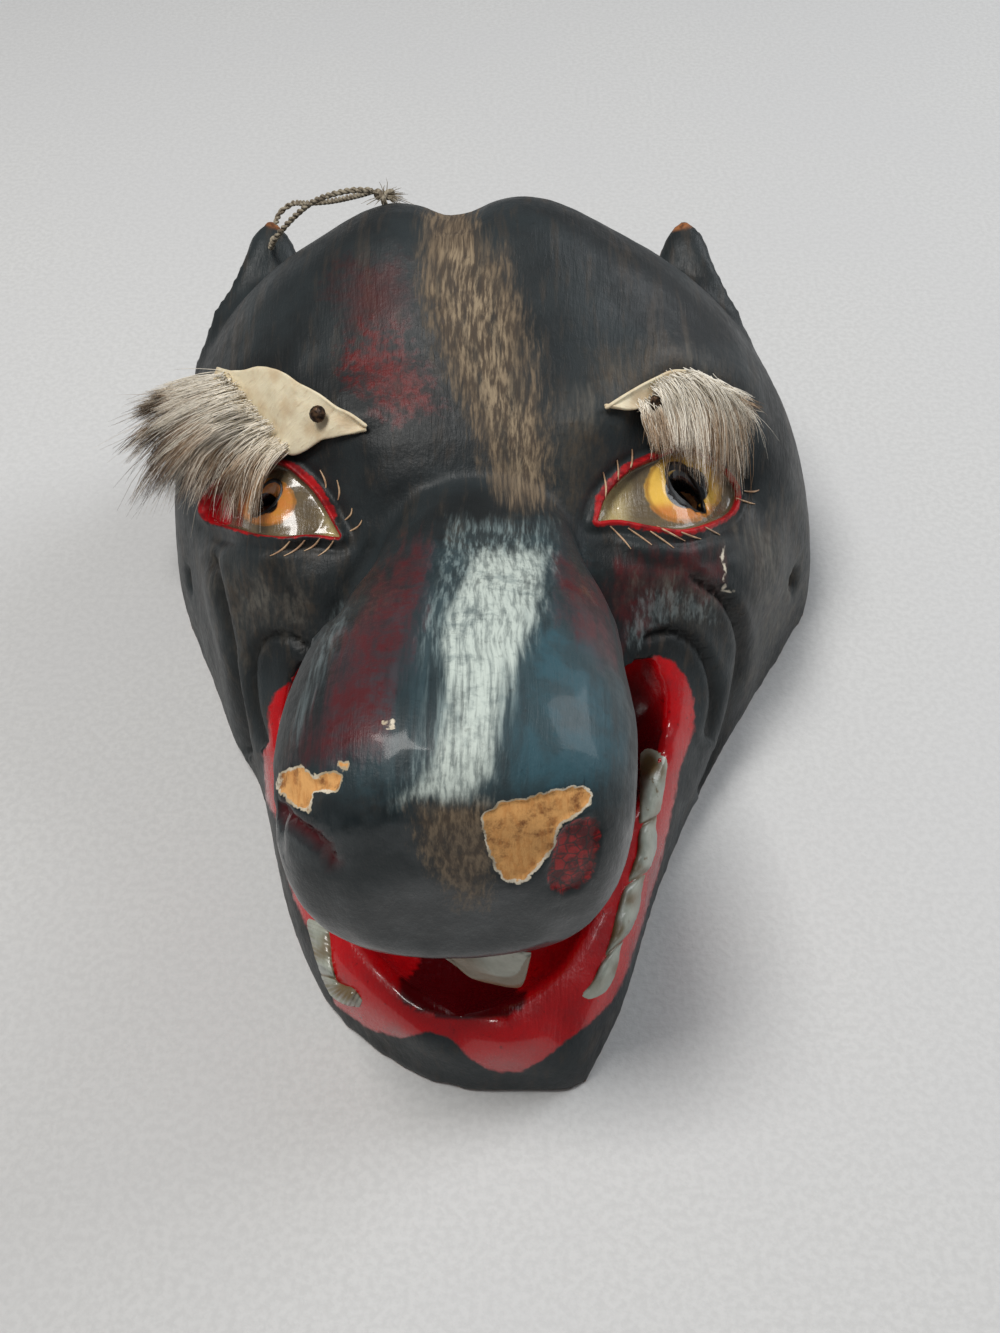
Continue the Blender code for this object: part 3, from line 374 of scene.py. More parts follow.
def carve_and_paint(mesh):
    """Carves the fine relief, stores each area of paint as a signed distance on the surface, and stores the painted
    shade of the folds and the mouth.
    """
    points = coordinates(mesh)
    normals = vertex_normals(mesh)
    tree = BVHTree.FromPolygons([tuple(p) for p in points], [tuple(f.vertices) for f in mesh.polygons])
    pixels = to_pixels(points)
    front = points[:, 1] - SHIFT.y
    high = points[:, 2]
    met = hits_outward(tree, points, normals)
    hollow = met & (front > MOUTH_BACK) | (high < 0.0006)
    hollow |= (front > MOUTH_BACK) & (normals[:, 2] < -0.6) & (high < 0.1)
    in_mouth = met & (front <= MOUTH_BACK) & ((normals[:, 1] > -0.4) | (front > 0.016))
    snout = ramp(high, 0.0528, 0.0545) * (front < 0.102) + (front >= 0.102)
    outside = (~hollow).astype(float)
    shown = outside * snout

    ragged = 2.2 * noise_at(points, 0.0018, 3.0) + 1.4 * noise_at(points, 0.0007, 9.0)
    chip = inside_distance(pixels, CHIP_NOSE)
    for outline in (CHIP_LEFT, CHIP_SMALL, CHIP_TINY, CHIP_CHIN):
        chip = np.maximum(chip, inside_distance(pixels, outline))
    chip = np.where(shown > 0.5, chip, -50.0) + ragged
    lid = np.full(len(points), -60.0)
    iris = np.full(len(points), -60.0)
    bulge = np.zeros(len(points))
    corner = np.zeros(len(points))
    warm = np.zeros(len(points))
    for outline, (cu, cv, ru, rv), side in ((EYE_RIGHT, IRIS_RIGHT, 1), (EYE_LEFT, IRIS_LEFT, -1)):
        edge = inside_distance(pixels, smooth_line(outline + outline[:1], 6)[:-1])
        lid = np.maximum(lid, np.where((outside > 0.5) & (high > 0.045), edge, -60.0))
        across = (pixels[:, 0] - cu) / ru
        along = (pixels[:, 1] - cv) / rv
        radius = np.sqrt(across ** 2 + along ** 2)
        iris = np.maximum(iris, np.where(edge > -14, (1 - radius) * 30, -60.0))
        wide = np.clip(1 - (radius / 1.9) ** 2, 0, 1)
        bulge = np.maximum(bulge, wide * (edge > -14))
        inner = cu - pixels[:, 0]
        corner = np.maximum(corner, np.where(edge > -10, side * inner, 0.0))
        near = edge > -14
        warm = np.where(near, ramp(along, 0.1, 0.9) if side > 0 else 1.0, warm)

    move = 0.00035 * noise_at(points, 0.018, 1.0) + 0.00014 * noise_at(points, 0.006, 2.0)
    bump = np.exp(-(((pixels[:, 0] - 506) / 30) ** 2) - ((pixels[:, 1] - 1034) / 26) ** 2)
    dips = np.exp(-(((pixels[:, 0] - 456) / 13) ** 2) - ((pixels[:, 1] - 1030) / 24) ** 2)
    dips += 0.7 * np.exp(-(((pixels[:, 0] - 562) / 14) ** 2) - ((pixels[:, 1] - 1026) / 22) ** 2)
    move += (0.0026 * bump - 0.0014 * dips) * (high < 0.05)
    move += 0.0015 * np.exp(-(((lid + 4.0) / 3.6) ** 2))
    move += ramp(lid, -1.5, 3.0) * (-0.0024 + 0.0031 * bulge)
    move += -0.0008 * np.exp(-(((lid + 13.0) / 5.0) ** 2))
    # The folds also get painted shade: a darkening of the paint along each groove.
    crease_shade = np.zeros(len(points))
    for line, depth, width in FOLDS:
        gap = line_distance(pixels, smooth_line(line, 6))
        groove = np.exp(-((gap / width) ** 2))
        ridge = np.exp(-(((gap - 2.6 * width) / (1.6 * width)) ** 2))
        on = outside * (front > 0.06)
        move += on * depth * (0.35 * ridge - groove)
        crease_shade = np.maximum(crease_shade, on * groove * min(1.0, depth / 0.0018))
    gap = line_distance(pixels, smooth_line(NOSTRIL_LEFT, 6))
    comma = np.exp(-((gap / 5.0) ** 2)) * shown
    move -= 0.0022 * comma
    move -= 0.0007 * ramp(chip, -0.5, 2.0)
    nostril = np.where(shown > 0.5, inside_distance(pixels, NOSTRIL_RIGHT), -50.0)
    move -= 0.0009 * ramp(nostril, -1.0, 3.0)
    move *= outside * ramp(high, 0.0, 0.006)

    add_values(mesh, "mouth", mouth_values(points, pixels, in_mouth, high, front, hollow))
    # Painted shade inside the mouth: a light darkening all through it, strongest low down towards its floor.
    add_values(mesh, "mouth_shade", in_mouth * (0.25 + 0.75 * ramp(0.046 - high, 0.0, 0.016)))
    paints = {
        "stripe": [SNOUT_STRIPE], "core": [SNOUT_CORE], "glints": [WHITE_GLINTS, WHITE_CHEEK],
        "teal": [TEAL_SIDE], "teal_top": [TEAL_TOP],
        "maroon": [MAROON_LEFT, MAROON_RIGHT, MAROON_CHEEK], "red_old": [RED_FOREHEAD],
        "red_crown": [RED_CROWN], "brown": [FOREHEAD_STRIPE, BROWN_NOSE],
        "brown_core": [FOREHEAD_CORE], "brown_brow": [BROWN_BROW, BROWN_TEMPLE],
        "red_corner": [RED_CORNER_LEFT], "cheek_dust_and_sheen": CHEEKS_DUST_AND_SHEEN,
    }
    for name, outlines in paints.items():
        edge = np.max([inside_distance(pixels, outline) for outline in outlines], axis=0)
        add_values(mesh, name, np.where(shown > 0.5, edge, -60.0))
    add_values(mesh, "lid", lid)
    add_values(mesh, "lid_red", lid + lid_band(pixels))
    add_values(mesh, "iris", iris)
    add_values(mesh, "eye_corner", corner)
    add_values(mesh, "warm", warm)
    add_values(mesh, "crease_shade", crease_shade)
    add_values(mesh, "comma", comma)
    add_values(mesh, "nostril", nostril)
    add_values(mesh, "chip", chip)
    add_values(mesh, "tip", ear_tip_values(points))
    add_values(mesh, "hollow", hollow.astype(float))
    add_values(mesh, "pupil", np.where(outside > 0.5, pupil_values(pixels), -1.0))
    add_values(mesh, "nose", ramp(pixels[:, 1], 790, 830) * (high > 0.05) * (front < 0.05) * outside)
    scratch = line_distance(pixels, smooth_line(SCRATCH, 6))
    add_values(mesh, "scratch", np.where(shown > 0.5, 1.5 - scratch, -20.0))
    set_coordinates(mesh, points + normals * move[:, None])


def lid_band(pixels):
    """Breadth of the lids' red paint in pixels, broad on the upper lids and thin below."""
    right = pixels[:, 0] > 450
    inward = np.where(right, ramp(pixels[:, 0], 690, 640), ramp(pixels[:, 0], 262, 300))
    upper = np.where(right, ramp(pixels[:, 1], 512, 496), ramp(pixels[:, 1], 526, 512))
    return 3.2 + upper * (1.0 + 4.6 * inward) + (1 - upper) * np.where(right, 3.4, 0.6)


def ear_tip_values(points):
    """Bare wood at the ears' rubbed tips, in pixels inside its edge."""
    values = np.full(len(points), -50.0)
    for x, y, z, reach in ((0.0640, 0.2400, 0.0975, 0.0052), (-0.0600, 0.2400, 0.0970, 0.0045)):
        gap = np.linalg.norm(points - np.array((x, y, z)) - np.array(SHIFT), axis=1)
        values = np.maximum(values, (reach - gap) / 0.00026 + 3 * noise_at(points, 0.003, 5.0))
    return values


def pupil_values(pixels):
    values = np.full(len(pixels), -1.0)
    for (u, v), reach in (((686, 488), 21.5), ((268, 503), 11.5)):
        gap = np.hypot(pixels[:, 0] - u, pixels[:, 1] - v)
        values = np.maximum(values, 1.0 + (reach - gap) / 2.0)
    return np.clip(values, -1.0, 3.0)


def mouth_values(points, pixels, in_mouth, high, front, hollow):
    """Signed distance into the red paint of the mouth."""
    edge = inside_distance(pixels, MOUTH_RED)
    lower = (high < MOUTH_TOP + 0.0018) & (front < MOUTH_BACK + 0.004) & ~hollow
    values = np.where(lower, edge, -60.0)
    return np.where(in_mouth & (high < 0.0600), 20.0, values)


# Materials

class Shader:
    """A small help to make a material's nodes."""

    def __init__(self, name):
        self.material = bpy.data.materials.new(name)
        self.material.use_nodes = True
        self.tree = self.material.node_tree
        self.out = self.tree.nodes["Principled BSDF"]
        self.place = self.tree.nodes.new("ShaderNodeTexCoord").outputs["Object"]

    def put(self, socket, value):
        if isinstance(value, bpy.types.NodeSocket):
            self.tree.links.new(value, socket)
        else:
            socket.default_value = value

    def node(self, kind, inputs, output=0, **settings):
        made = self.tree.nodes.new(kind)
        for key, value in settings.items():
            setattr(made, key, value)
        for key, value in inputs.items():
            self.put(made.inputs[key], value)
        return made.outputs[output]

    def attribute(self, name):
        made = self.tree.nodes.new("ShaderNodeAttribute")
        made.attribute_name = name
        return made.outputs["Fac"]

    def math(self, operation, first, second=0.0, third=0.0):
        return self.node("ShaderNodeMath", {0: first, 1: second, 2: third}, operation=operation)

    def warped(self, scale, amount):
        """The place, moved about by a slow noise."""
        shift = self.node("ShaderNodeTexNoise", {"Vector": self.place, "Scale": scale, "Detail": 2.0}, 1)
        inputs = {0: shift, 1: (amount, amount, amount), 2: self.place}
        return self.node("ShaderNodeVectorMath", inputs, operation="MULTIPLY_ADD")

    def stretched(self, x, y, z, vector=None):
        return self.node("ShaderNodeMapping", {"Vector": vector or self.place, "Scale": (x, y, z)})

    def noise(self, scale, detail=4.0, rough=0.55, vector=None):
        inputs = {"Vector": vector or self.place, "Scale": scale, "Detail": detail, "Roughness": rough}
        return self.node("ShaderNodeTexNoise", inputs)

    def span(self, value, low, high, start=0.0, end=1.0):
        inputs = {"Value": value, "From Min": low, "From Max": high, "To Min": start, "To Max": end}
        return self.node("ShaderNodeMapRange", inputs, interpolation_type="SMOOTHSTEP")

    def mix(self, factor, first, second):
        made = self.tree.nodes.new("ShaderNodeMix")
        made.data_type = "RGBA"
        self.put(made.inputs[0], factor)
        self.put(made.inputs[6], first)
        self.put(made.inputs[7], second)
        return made.outputs[2]

    def edge(self, name, wobble, amount, low, high):
        """How far inside a painted area, with its edge broken by a noise."""
        moved = self.math("MULTIPLY_ADD", self.math("SUBTRACT", wobble, 0.5), amount, self.attribute(name))
        return self.span(moved, low, high)

    def bump(self, height, strength, distance):
        inputs = {"Height": height, "Strength": strength, "Distance": distance}
        self.put(self.out.inputs["Normal"], self.node("ShaderNodeBump", inputs))

    def set(self, **inputs):
        for name, value in inputs.items():
            self.put(self.out.inputs[name.replace("_", " ")], value)
        return self.material


def painted_wood():
    s = Shader("painted_wood_fine")
    cloud = s.noise(26.0, 5.0)
    patch = s.noise(95.0, 5.0, 0.6)
    fine = s.noise(420.0, 5.0, 0.6)
    speck = s.noise(1500.0, 2.0)
    bent = s.warped(30.0, 0.0045)
    hair = s.noise(1050.0, 4.0, 0.6, s.stretched(1.0, 0.055, 0.35, bent))
    stroke = s.noise(330.0, 5.0, 0.62, s.stretched(1.0, 0.09, 0.4, bent))
    mottle = s.math("MULTIPLY", s.math("ADD", patch, fine), 0.5)

    colour = s.mix(s.span(cloud, 0.36, 0.64), SLATE_DARK, SLATE)
    colour = s.mix(s.span(stroke, 0.5, 0.7, 0.0, 0.35), colour, BROWN_DARK)
    colour = s.mix(s.attribute("nose"), colour, s.mix(s.span(patch, 0.4, 0.65), NAVY, SLATE))
    top = s.edge("teal_top", mottle, 120.0, -24.0, 30.0)
    colour = s.mix(s.math("MULTIPLY", top, s.span(stroke, 0.35, 0.65, 0.35, 0.9)), colour, BLUE_DULL)
    side = s.edge("teal", stroke, 60.0, -8.0, 20.0)
    colour = s.mix(s.math("MULTIPLY", side, 0.9), colour, s.mix(s.span(patch, 0.4, 0.6), TEAL, BLUE_DULL))
    maroon = s.edge("maroon", stroke, 90.0, -10.0, 24.0)
    colour = s.mix(s.math("MULTIPLY", maroon, s.span(mottle, 0.38, 0.6, 0.3, 0.9)), colour, MAROON)
    # Grey-brown dust, lighter than the slate; on the head's right side it is a painted sheen.
    cheek_dust_and_sheen = s.edge("cheek_dust_and_sheen", stroke, 90.0, -16.0, 40.0)
    dust_and_sheen = s.mix(s.span(patch, 0.4, 0.6), linear(104, 100, 92), linear(72, 64, 56))
    colour = s.mix(s.math("MULTIPLY", cheek_dust_and_sheen, s.span(hair, 0.35, 0.65, 0.25, 0.85)), colour, dust_and_sheen)
    worn = s.edge("brown_brow", mottle, 110.0, -14.0, 36.0)
    colour = s.mix(s.math("MULTIPLY", worn, s.span(hair, 0.35, 0.7, 0.2, 0.85)), colour, linear(84, 74, 62))
    red = s.edge("red_crown", mottle, 110.0, -16.0, 34.0)
    colour = s.mix(s.math("MULTIPLY", red, 0.6), colour, linear(86, 30, 28))
    red = s.edge("red_old", mottle, 120.0, -10.0, 26.0)
    colour = s.mix(s.math("MULTIPLY", red, s.span(fine, 0.35, 0.65, 0.35, 1.0)), colour, RED_OLD)

    brown = s.edge("brown", hair, 46.0, -12.0, 16.0)
    tan = s.mix(s.span(hair, 0.38, 0.66), BROWN_DARK, BROWN_WORN)
    colour = s.mix(s.math("MULTIPLY", brown, s.span(stroke, 0.3, 0.55, 0.4, 1.0)), colour, tan)
    core = s.edge("brown_core", stroke, 60.0, -6.0, 26.0)
    light = s.math("MULTIPLY", core, s.span(hair, 0.45, 0.68, 0.0, 0.85))
    colour = s.mix(light, colour, linear(160, 142, 116))
    white = s.edge("stripe", stroke, 60.0, -8.0, 18.0)
    veil = s.math("MULTIPLY", white, s.span(hair, 0.42, 0.68, 0.06, 0.75))
    colour = s.mix(veil, colour, linear(134, 150, 150))
    core = s.edge("core", stroke, 44.0, -6.0, 16.0)
    thick = s.math("MULTIPLY", core, s.span(hair, 0.34, 0.60, 0.42, 1.0))
    colour = s.mix(s.math("MULTIPLY", thick, s.span(mottle, 0.36, 0.52, 0.45, 1.0)), colour, WHITE_PAINT)
    glint = s.edge("glints", hair, 16.0, -6.0, 5.0)
    colour = s.mix(s.math("MULTIPLY", glint, s.span(hair, 0.36, 0.70, 0.05, 0.4)), colour, linear(140, 154, 156))
    colour = s.mix(s.span(fine, 0.60, 0.74, 0.0, 0.35), colour, GRIME_AND_SHADE)
    # Painted shade: the paint darkened along the carved folds.
    colour = s.mix(s.math("MULTIPLY", s.attribute("crease_shade"), 0.85), colour, GRIME_AND_SHADE)
    colour = s.mix(s.math("MULTIPLY", s.attribute("comma"), 0.9), colour, RED_DARK_AND_SHADE)
    scratch = s.edge("scratch", fine, 5.0, -0.6, 0.8)
    colour = s.mix(scratch, colour, GESSO)

    mouth = s.edge("mouth", fine, 7.0, -1.5, 2.0)
    # Painted shade: the mouth's red darkened deeper inside it.
    mouth_shade = s.span(s.attribute("mouth_shade"), 0.0, 1.0)
    lip = s.mix(s.span(patch, 0.42, 0.66, 0.0, 0.7), RED_GLOSS, RED_LIP)
    lip = s.mix(s.span(fine, 0.62, 0.72, 0.0, 0.6), lip, RED_DARK_AND_SHADE)
    colour = s.mix(mouth, colour, s.mix(mouth_shade, lip, RED_DARK_AND_SHADE))
    nostril = s.edge("nostril", fine, 8.0, -1.0, 2.0)
    cracks = s.node("ShaderNodeTexVoronoi", {"Vector": s.place, "Scale": 420.0}, feature="DISTANCE_TO_EDGE")
    inner = s.mix(s.span(mottle, 0.44, 0.56), RED_DARK_AND_SHADE, linear(168, 20, 22))
    inner = s.mix(s.span(cracks, 0.0, 0.12, 0.8, 0.0), inner, GRIME_AND_SHADE)
    colour = s.mix(nostril, colour, inner)

    rim_out = s.edge("lid_red", fine, 5.0, -0.8, 0.8)
    colour = s.mix(rim_out, colour, s.mix(s.span(mottle, 0.42, 0.58), linear(120, 14, 20), linear(176, 26, 30)))
    ball = s.edge("lid", fine, 2.0, -0.8, 0.6)
    white_of_eye = s.mix(s.span(s.attribute("eye_corner"), 46.0, 66.0), EYE_BROWN, EYE_KHAKI)
    white_of_eye = s.mix(s.span(mottle, 0.45, 0.6, 0.0, 0.5), white_of_eye, linear(120, 104, 76))
    colour = s.mix(ball, colour, white_of_eye)
    corner = s.edge("red_corner", fine, 6.0, -1.0, 2.0)
    colour = s.mix(corner, colour, linear(170, 14, 22))
    iris = s.math("MULTIPLY", s.edge("iris", fine, 5.0, -1.0, 1.4), ball)
    yolk = s.mix(s.span(s.attribute("warm"), 0.2, 0.8), YELLOW, ORANGE)
    yolk = s.mix(s.span(mottle, 0.48, 0.62, 0.0, 0.6), yolk, linear(196, 140, 60))
    rim = s.span(s.math("ABSOLUTE", s.math("ADD", s.attribute("iris"), -1.5)), 0.0, 3.0, 0.7, 0.0)
    yolk = s.mix(rim, yolk, linear(140, 96, 40))
    colour = s.mix(iris, colour, yolk)
    pupil = s.span(s.attribute("pupil"), 0.6, 1.4)
    colour = s.mix(pupil, colour, BLACK)

    gesso = s.edge("chip", fine, 9.0, -1.6, -0.6)
    chip = s.edge("chip", fine, 9.0, 0.4, 1.6)
    bare = s.mix(s.span(s.noise(170.0, 6.0, 0.7), 0.46, 0.66), BARE_WOOD, BARE_DARK)
    bare = s.mix(s.span(hair, 0.45, 0.65, 0.0, 0.5), bare, linear(196, 130, 70))
    colour = s.mix(gesso, colour, s.mix(s.span(patch, 0.4, 0.6), GESSO, linear(176, 160, 132)))
    colour = s.mix(chip, colour, bare)
    rubbed = s.edge("tip", fine, 8.0, -1.0, 6.0)
    colour = s.mix(rubbed, colour, s.mix(s.span(mottle, 0.42, 0.58), linear(176, 112, 66), linear(96, 62, 42)))
    hollow = s.span(s.attribute("hollow"), 0.4, 0.6)
    grain = s.noise(60.0, 5.0, 0.6, s.stretched(7.0, 0.8, 4.0))
    wood = s.mix(s.span(grain, 0.35, 0.65), HOLLOW_WOOD, BARE_DARK)
    colour = s.mix(hollow, colour, wood)

    wet = s.math("MAXIMUM", s.math("MAXIMUM", mouth, ball), s.math("MULTIPLY", s.attribute("nose"), 0.55))
    glazed = s.math("MAXIMUM", wet, s.math("MULTIPLY", top, 0.22))
    dull = s.math("MAXIMUM", s.math("MAXIMUM", gesso, hollow), s.math("MULTIPLY", brown, 0.6))
    rough = s.span(mottle, 0.35, 0.65, 0.52, 0.38)
    rough = s.math("MULTIPLY_ADD", wet, -0.20, rough)
    rough = s.math("MULTIPLY_ADD", dull, 0.35, rough)
    height = s.math("MULTIPLY_ADD", hair, 0.7, s.math("MULTIPLY_ADD", fine, 0.5, s.math("MULTIPLY", speck, 0.15)))
    s.bump(height, 0.5, 0.0006)
    coat = s.math("MULTIPLY", glazed, s.math("SUBTRACT", 0.75, s.math("MULTIPLY", dull, 0.75)))
    return s.set(Base_Color=colour, Roughness=rough, Coat_Weight=coat, Coat_Roughness=0.10,
                 Specular_IOR_Level=0.22)


def hair_material(name, root, middle, tip):
    s = Shader(name)
    along = s.attribute("along")
    shade = s.attribute("shade")
    dark = s.math("MULTIPLY", s.span(along, 0.16, 0.66), s.span(shade, 0.2, 0.85))
    colour = s.mix(dark, root, middle)
    darker = s.math("MULTIPLY", s.span(along, 0.45, 1.0), s.span(shade, 0.35, 0.8))
    colour = s.mix(darker, colour, tip)
    return s.set(Base_Color=colour, Roughness=0.5, Specular_IOR_Level=0.35)


def hide_material():
    s = Shader("hide_skin")
    cloud = s.noise(160.0, 5.0)
    fibre = s.noise(200.0, 5.0, 0.6, s.stretched(1.0, 4.0, 1.0))
    colour = s.mix(s.span(cloud, 0.35, 0.7), linear(236, 222, 190), linear(214, 190, 154))
    colour = s.mix(s.span(fibre, 0.55, 0.75, 0.0, 0.5), colour, linear(170, 140, 108))
    s.bump(s.math("ADD", cloud, fibre), 0.4, 0.0006)
    return s.set(Base_Color=colour, Roughness=0.62, Subsurface_Weight=0.05)


def tooth_material():
    s = Shader("tooth_paint")
    cloud = s.noise(110.0, 5.0)
    fine = s.noise(420.0, 4.0)
    colour = s.mix(s.span(cloud, 0.38, 0.62), TOOTH, linear(146, 152, 140))
    colour = s.mix(s.span(s.attribute("stain"), 0.25, 0.9), colour, TOOTH_STAIN)
    colour = s.mix(s.span(fine, 0.62, 0.75), colour, TOOTH_STAIN)
    s.bump(s.math("ADD", cloud, fine), 0.35, 0.0006)
    return s.set(Base_Color=colour, Roughness=0.32, Coat_Weight=0.4, Coat_Roughness=0.15)


def twine_material():
    s = Shader("twine_fibres")
    fibre = s.noise(900.0, 4.0)
    colour = s.mix(s.span(fibre, 0.35, 0.65), linear(168, 158, 138), linear(104, 92, 76))
    s.bump(fibre, 0.5, 0.0003)
    return s.set(Base_Color=colour, Roughness=0.85)


def tack_material():
    s = Shader("tack_metal_worn")
    fine = s.noise(700.0, 4.0)
    colour = s.mix(s.span(fine, 0.4, 0.6), linear(92, 70, 52), linear(44, 34, 28))
    s.bump(fine, 0.3, 0.0002)
    return s.set(Base_Color=colour, Roughness=0.42, Metallic=0.8)


def stroke_material():
    s = Shader("lash_paint")
    fine = s.noise(500.0, 3.0)
    colour = s.mix(s.span(fine, 0.4, 0.6), linear(206, 172, 136), linear(176, 138, 108))
    return s.set(Base_Color=colour, Roughness=0.4)


def hole_material():
    s = Shader("sight_hole_black_and_shade")
    fine = s.noise(900.0, 3.0)
    # Black paint at the rims; further in, the black is painted shade.
    colour = s.mix(s.span(fine, 0.4, 0.7), linear(9, 9, 12), linear(26, 24, 24))
    s.bump(fine, 0.3, 0.0002)
    return s.set(Base_Color=colour, Roughness=0.45)


def floor_material():
    s = Shader("floor_cloth")
    fine = s.noise(520.0, 4.0)
    broad = s.noise(9.0, 3.0)
    colour = s.mix(s.span(fine, 0.35, 0.65), linear(204, 204, 203), linear(212, 212, 211))
    colour = s.mix(s.span(broad, 0.3, 0.7, 0.0, 0.4), colour, linear(206, 206, 207))
    s.bump(fine, 0.2, 0.0010)
    return s.set(Base_Color=colour, Roughness=0.9)


# Points of the surface under pixels of the picture

def surface_point(tree, u, v, lift=0.0, low_only=False):
    """The wood under a pixel, raised towards the camera. Beside the wood, the place nearest to it."""
    ray = pixel_ray(u, v)
    start = CAMERA_PLACE
    for _ in range(6):
        hit, normal, _, _ = tree.ray_cast(start, ray)
        if hit is None:
            break
        if low_only and hit.z > MOUTH_TOP:
            start = hit + ray * 0.0005
            continue
        facing = max(0.35, -normal.dot(ray))
        return hit - ray * (lift / facing)
    best = None
    for k in range(70):
        point = CAMERA_PLACE + ray * (0.25 + 0.005 * k)
        near = tree.find_nearest(point)
        if best is None or near[3] < best[0]:
            best = (near[3], point)
    return best[1] - ray * lift


def tube(points, faces, path, radii, sides):
    """Adds a tapered tube along a path to lists of points and faces."""
    first = len(points)
    for i, centre in enumerate(path):
        ahead = path[min(i + 1, len(path) - 1)] - path[max(i - 1, 0)]
        aside = ahead.cross(Vector((0.31, 0.17, 0.93))).normalized()
        other = ahead.normalized().cross(aside)
        for k in range(sides):
            angle = 2 * math.pi * k / sides
            points.append(centre + radii[i] * (math.cos(angle) * aside + math.sin(angle) * other))
    for i in range(len(path) - 1):
        for k in range(sides):
            j = (k + 1) % sides
            a = first + i * sides
            faces.append((a + k, a + j, a + sides + j, a + sides + k))


def between_guides(guides, place):
    """The guide hair at a place along the row, from its neighbours."""
    i = min(int(place), len(guides) - 2)
    t = place - i
    near = np.array(guides[i])
    far = np.array(guides[i + 1])
    return near * (1 - t) + far * t


def make_hair(name, tree, rows, seed, radius, material):
    """Strands that gather in locks. A row is its guides, locks, strands a lock, loose strands and tone."""
    rng = random.Random(seed)
    points = []
    faces = []
    along = []
    shade = []
    steps = 6
    for guides, locks, per_lock, loose, tone_low, tone_high in rows:
        strands = []
        for _ in range(locks):
            place = rng.random() ** 1.5 * (len(guides) - 1)
            reach = rng.uniform(0.72, 1.06)
            aim = (rng.gauss(0, 5.0), rng.gauss(0, 5.0))
            tone = rng.uniform(tone_low, tone_high)
            for _ in range(per_lock):
                strands.append((place + rng.gauss(0, 0.30), reach * rng.uniform(0.82, 1.02), place, aim,
                                tone + rng.gauss(0, 0.12), 0.85))
        for _ in range(loose):
            place = rng.random() * (len(guides) - 1)
            reach = rng.uniform(0.5, 1.08)
            aim = (rng.gauss(0, 9.0), rng.gauss(0, 9.0))
            strands.append((place, reach, place, aim, rng.uniform(tone_low - 0.2, tone_high + 0.2), 0.0))
        for place, reach, goal, aim, tone, gather in strands:
            place = min(max(place, 0.0), len(guides) - 1.0001)
            own = between_guides(guides, place)
            knots = own.copy()
            knots[2] = own[2] * (1 - gather) + between_guides(guides, goal)[2] * gather
            knots[1] = own[1] * (1 - 0.4 * gather) + between_guides(guides, goal)[1] * 0.4 * gather
            for k, spread in ((0, 2.4), (1, 2.2), (2, 2.0 + 2.0 * (1 - gather))):
                knots[k, 0] += rng.gauss(0, spread) + (0, 0.5, 1.0)[k] * aim[0]
                knots[k, 1] += rng.gauss(0, spread) + (0, 0.5, 1.0)[k] * aim[1]
                knots[k, 2] *= rng.uniform(0.55, 1.15)
            for k in (1, 2):
                knots[k, :2] = knots[0, :2] + (knots[k, :2] - knots[0, :2]) * reach
            ends = [surface_point(tree, u, v, lift) for u, v, lift in knots]
            control = 2 * ends[1] - 0.5 * (ends[0] + ends[2])
            path = []
            for n in range(steps + 1):
                s = n / steps
                path.append(ends[0] * (1 - s) ** 2 + control * 2 * s * (1 - s) + ends[2] * s * s)
            thick = radius * rng.uniform(0.7, 1.2)
            radii = [thick * (1.0 - 0.85 * (n / steps) ** 1.5) for n in range(steps + 1)]
            tube(points, faces, path, radii, 3)
            for n in range(steps + 1):
                along += [n / steps] * 3
                shade += [tone] * 3
    mesh = mesh_from(name, points, faces)
    mesh.shade_smooth()
    add_values(mesh, "along", along)
    add_values(mesh, "shade", shade)
    mesh.materials.append(material)
    return new_object(name, mesh)


def make_hide(name, tree, upper, lower, lift, material):
    """A thin hide patch between an upper and a lower edge, both from its tip outwards."""
    upper = smooth_line(upper, 6)
    lower = smooth_line(lower, 6)
    columns = 40
    rows = 14
    points = []
    for i in range(columns + 1):
        s = i / columns
        top = upper[min(int(s * (len(upper) - 1)), len(upper) - 1)]
        low = lower[min(int(s * (len(lower) - 1)), len(lower) - 1)]
        for k in range(rows + 1):
            t = k / rows
            u = top[0] * (1 - t) + low[0] * t
            v = top[1] * (1 - t) + low[1] * t
            curl = 0.0016 * (1 - t) ** 4 + 0.0008 * t ** 4
            height = 0.0006 + lift * s ** 1.3 * (0.6 + 0.4 * math.sin(math.pi * t)) + curl
            wave = 0.0004 * noise.noise(Vector((u * 0.06, v * 0.06, 4.0)))
            points.append(surface_point(tree, u, v, height + wave))
    faces = []
    for i in range(columns):
        for k in range(rows):
            a = i * (rows + 1) + k
            faces.append((a, a + rows + 1, a + rows + 2, a + 1))
    mesh = mesh_from(name, points, faces)
    obj = new_object(name, mesh)
    thick = obj.modifiers.new("thick", "SOLIDIFY")
    thick.thickness = 0.0009
    thick.offset = -1.0
    round_off = obj.modifiers.new("round", "SUBSURF")
    round_off.levels = 1
    round_off.render_levels = 1
    mesh.shade_smooth()
    mesh.materials.append(material)
    return obj


def make_strokes(name, tree, strokes, width, material):
    points = []
    faces = []
    for start, end in strokes:
        path = []
        for k in range(7):
            t = k / 6
            bend = 2.0 * math.sin(math.pi * t)
            u = start[0] * (1 - t) + end[0] * t + bend
            v = start[1] * (1 - t) + end[1] * t + bend * 0.6
            path.append(surface_point(tree, u, v, 0.0001))
        radii = [width * (0.35 + 0.65 * math.sin(math.pi * min(0.95, 0.15 + 0.85 * k / 6))) for k in range(7)]
        tube(points, faces, path, radii, 5)
    mesh = mesh_from(name, points, faces)
    mesh.shade_smooth()
    mesh.materials.append(material)
    return new_object(name, mesh)


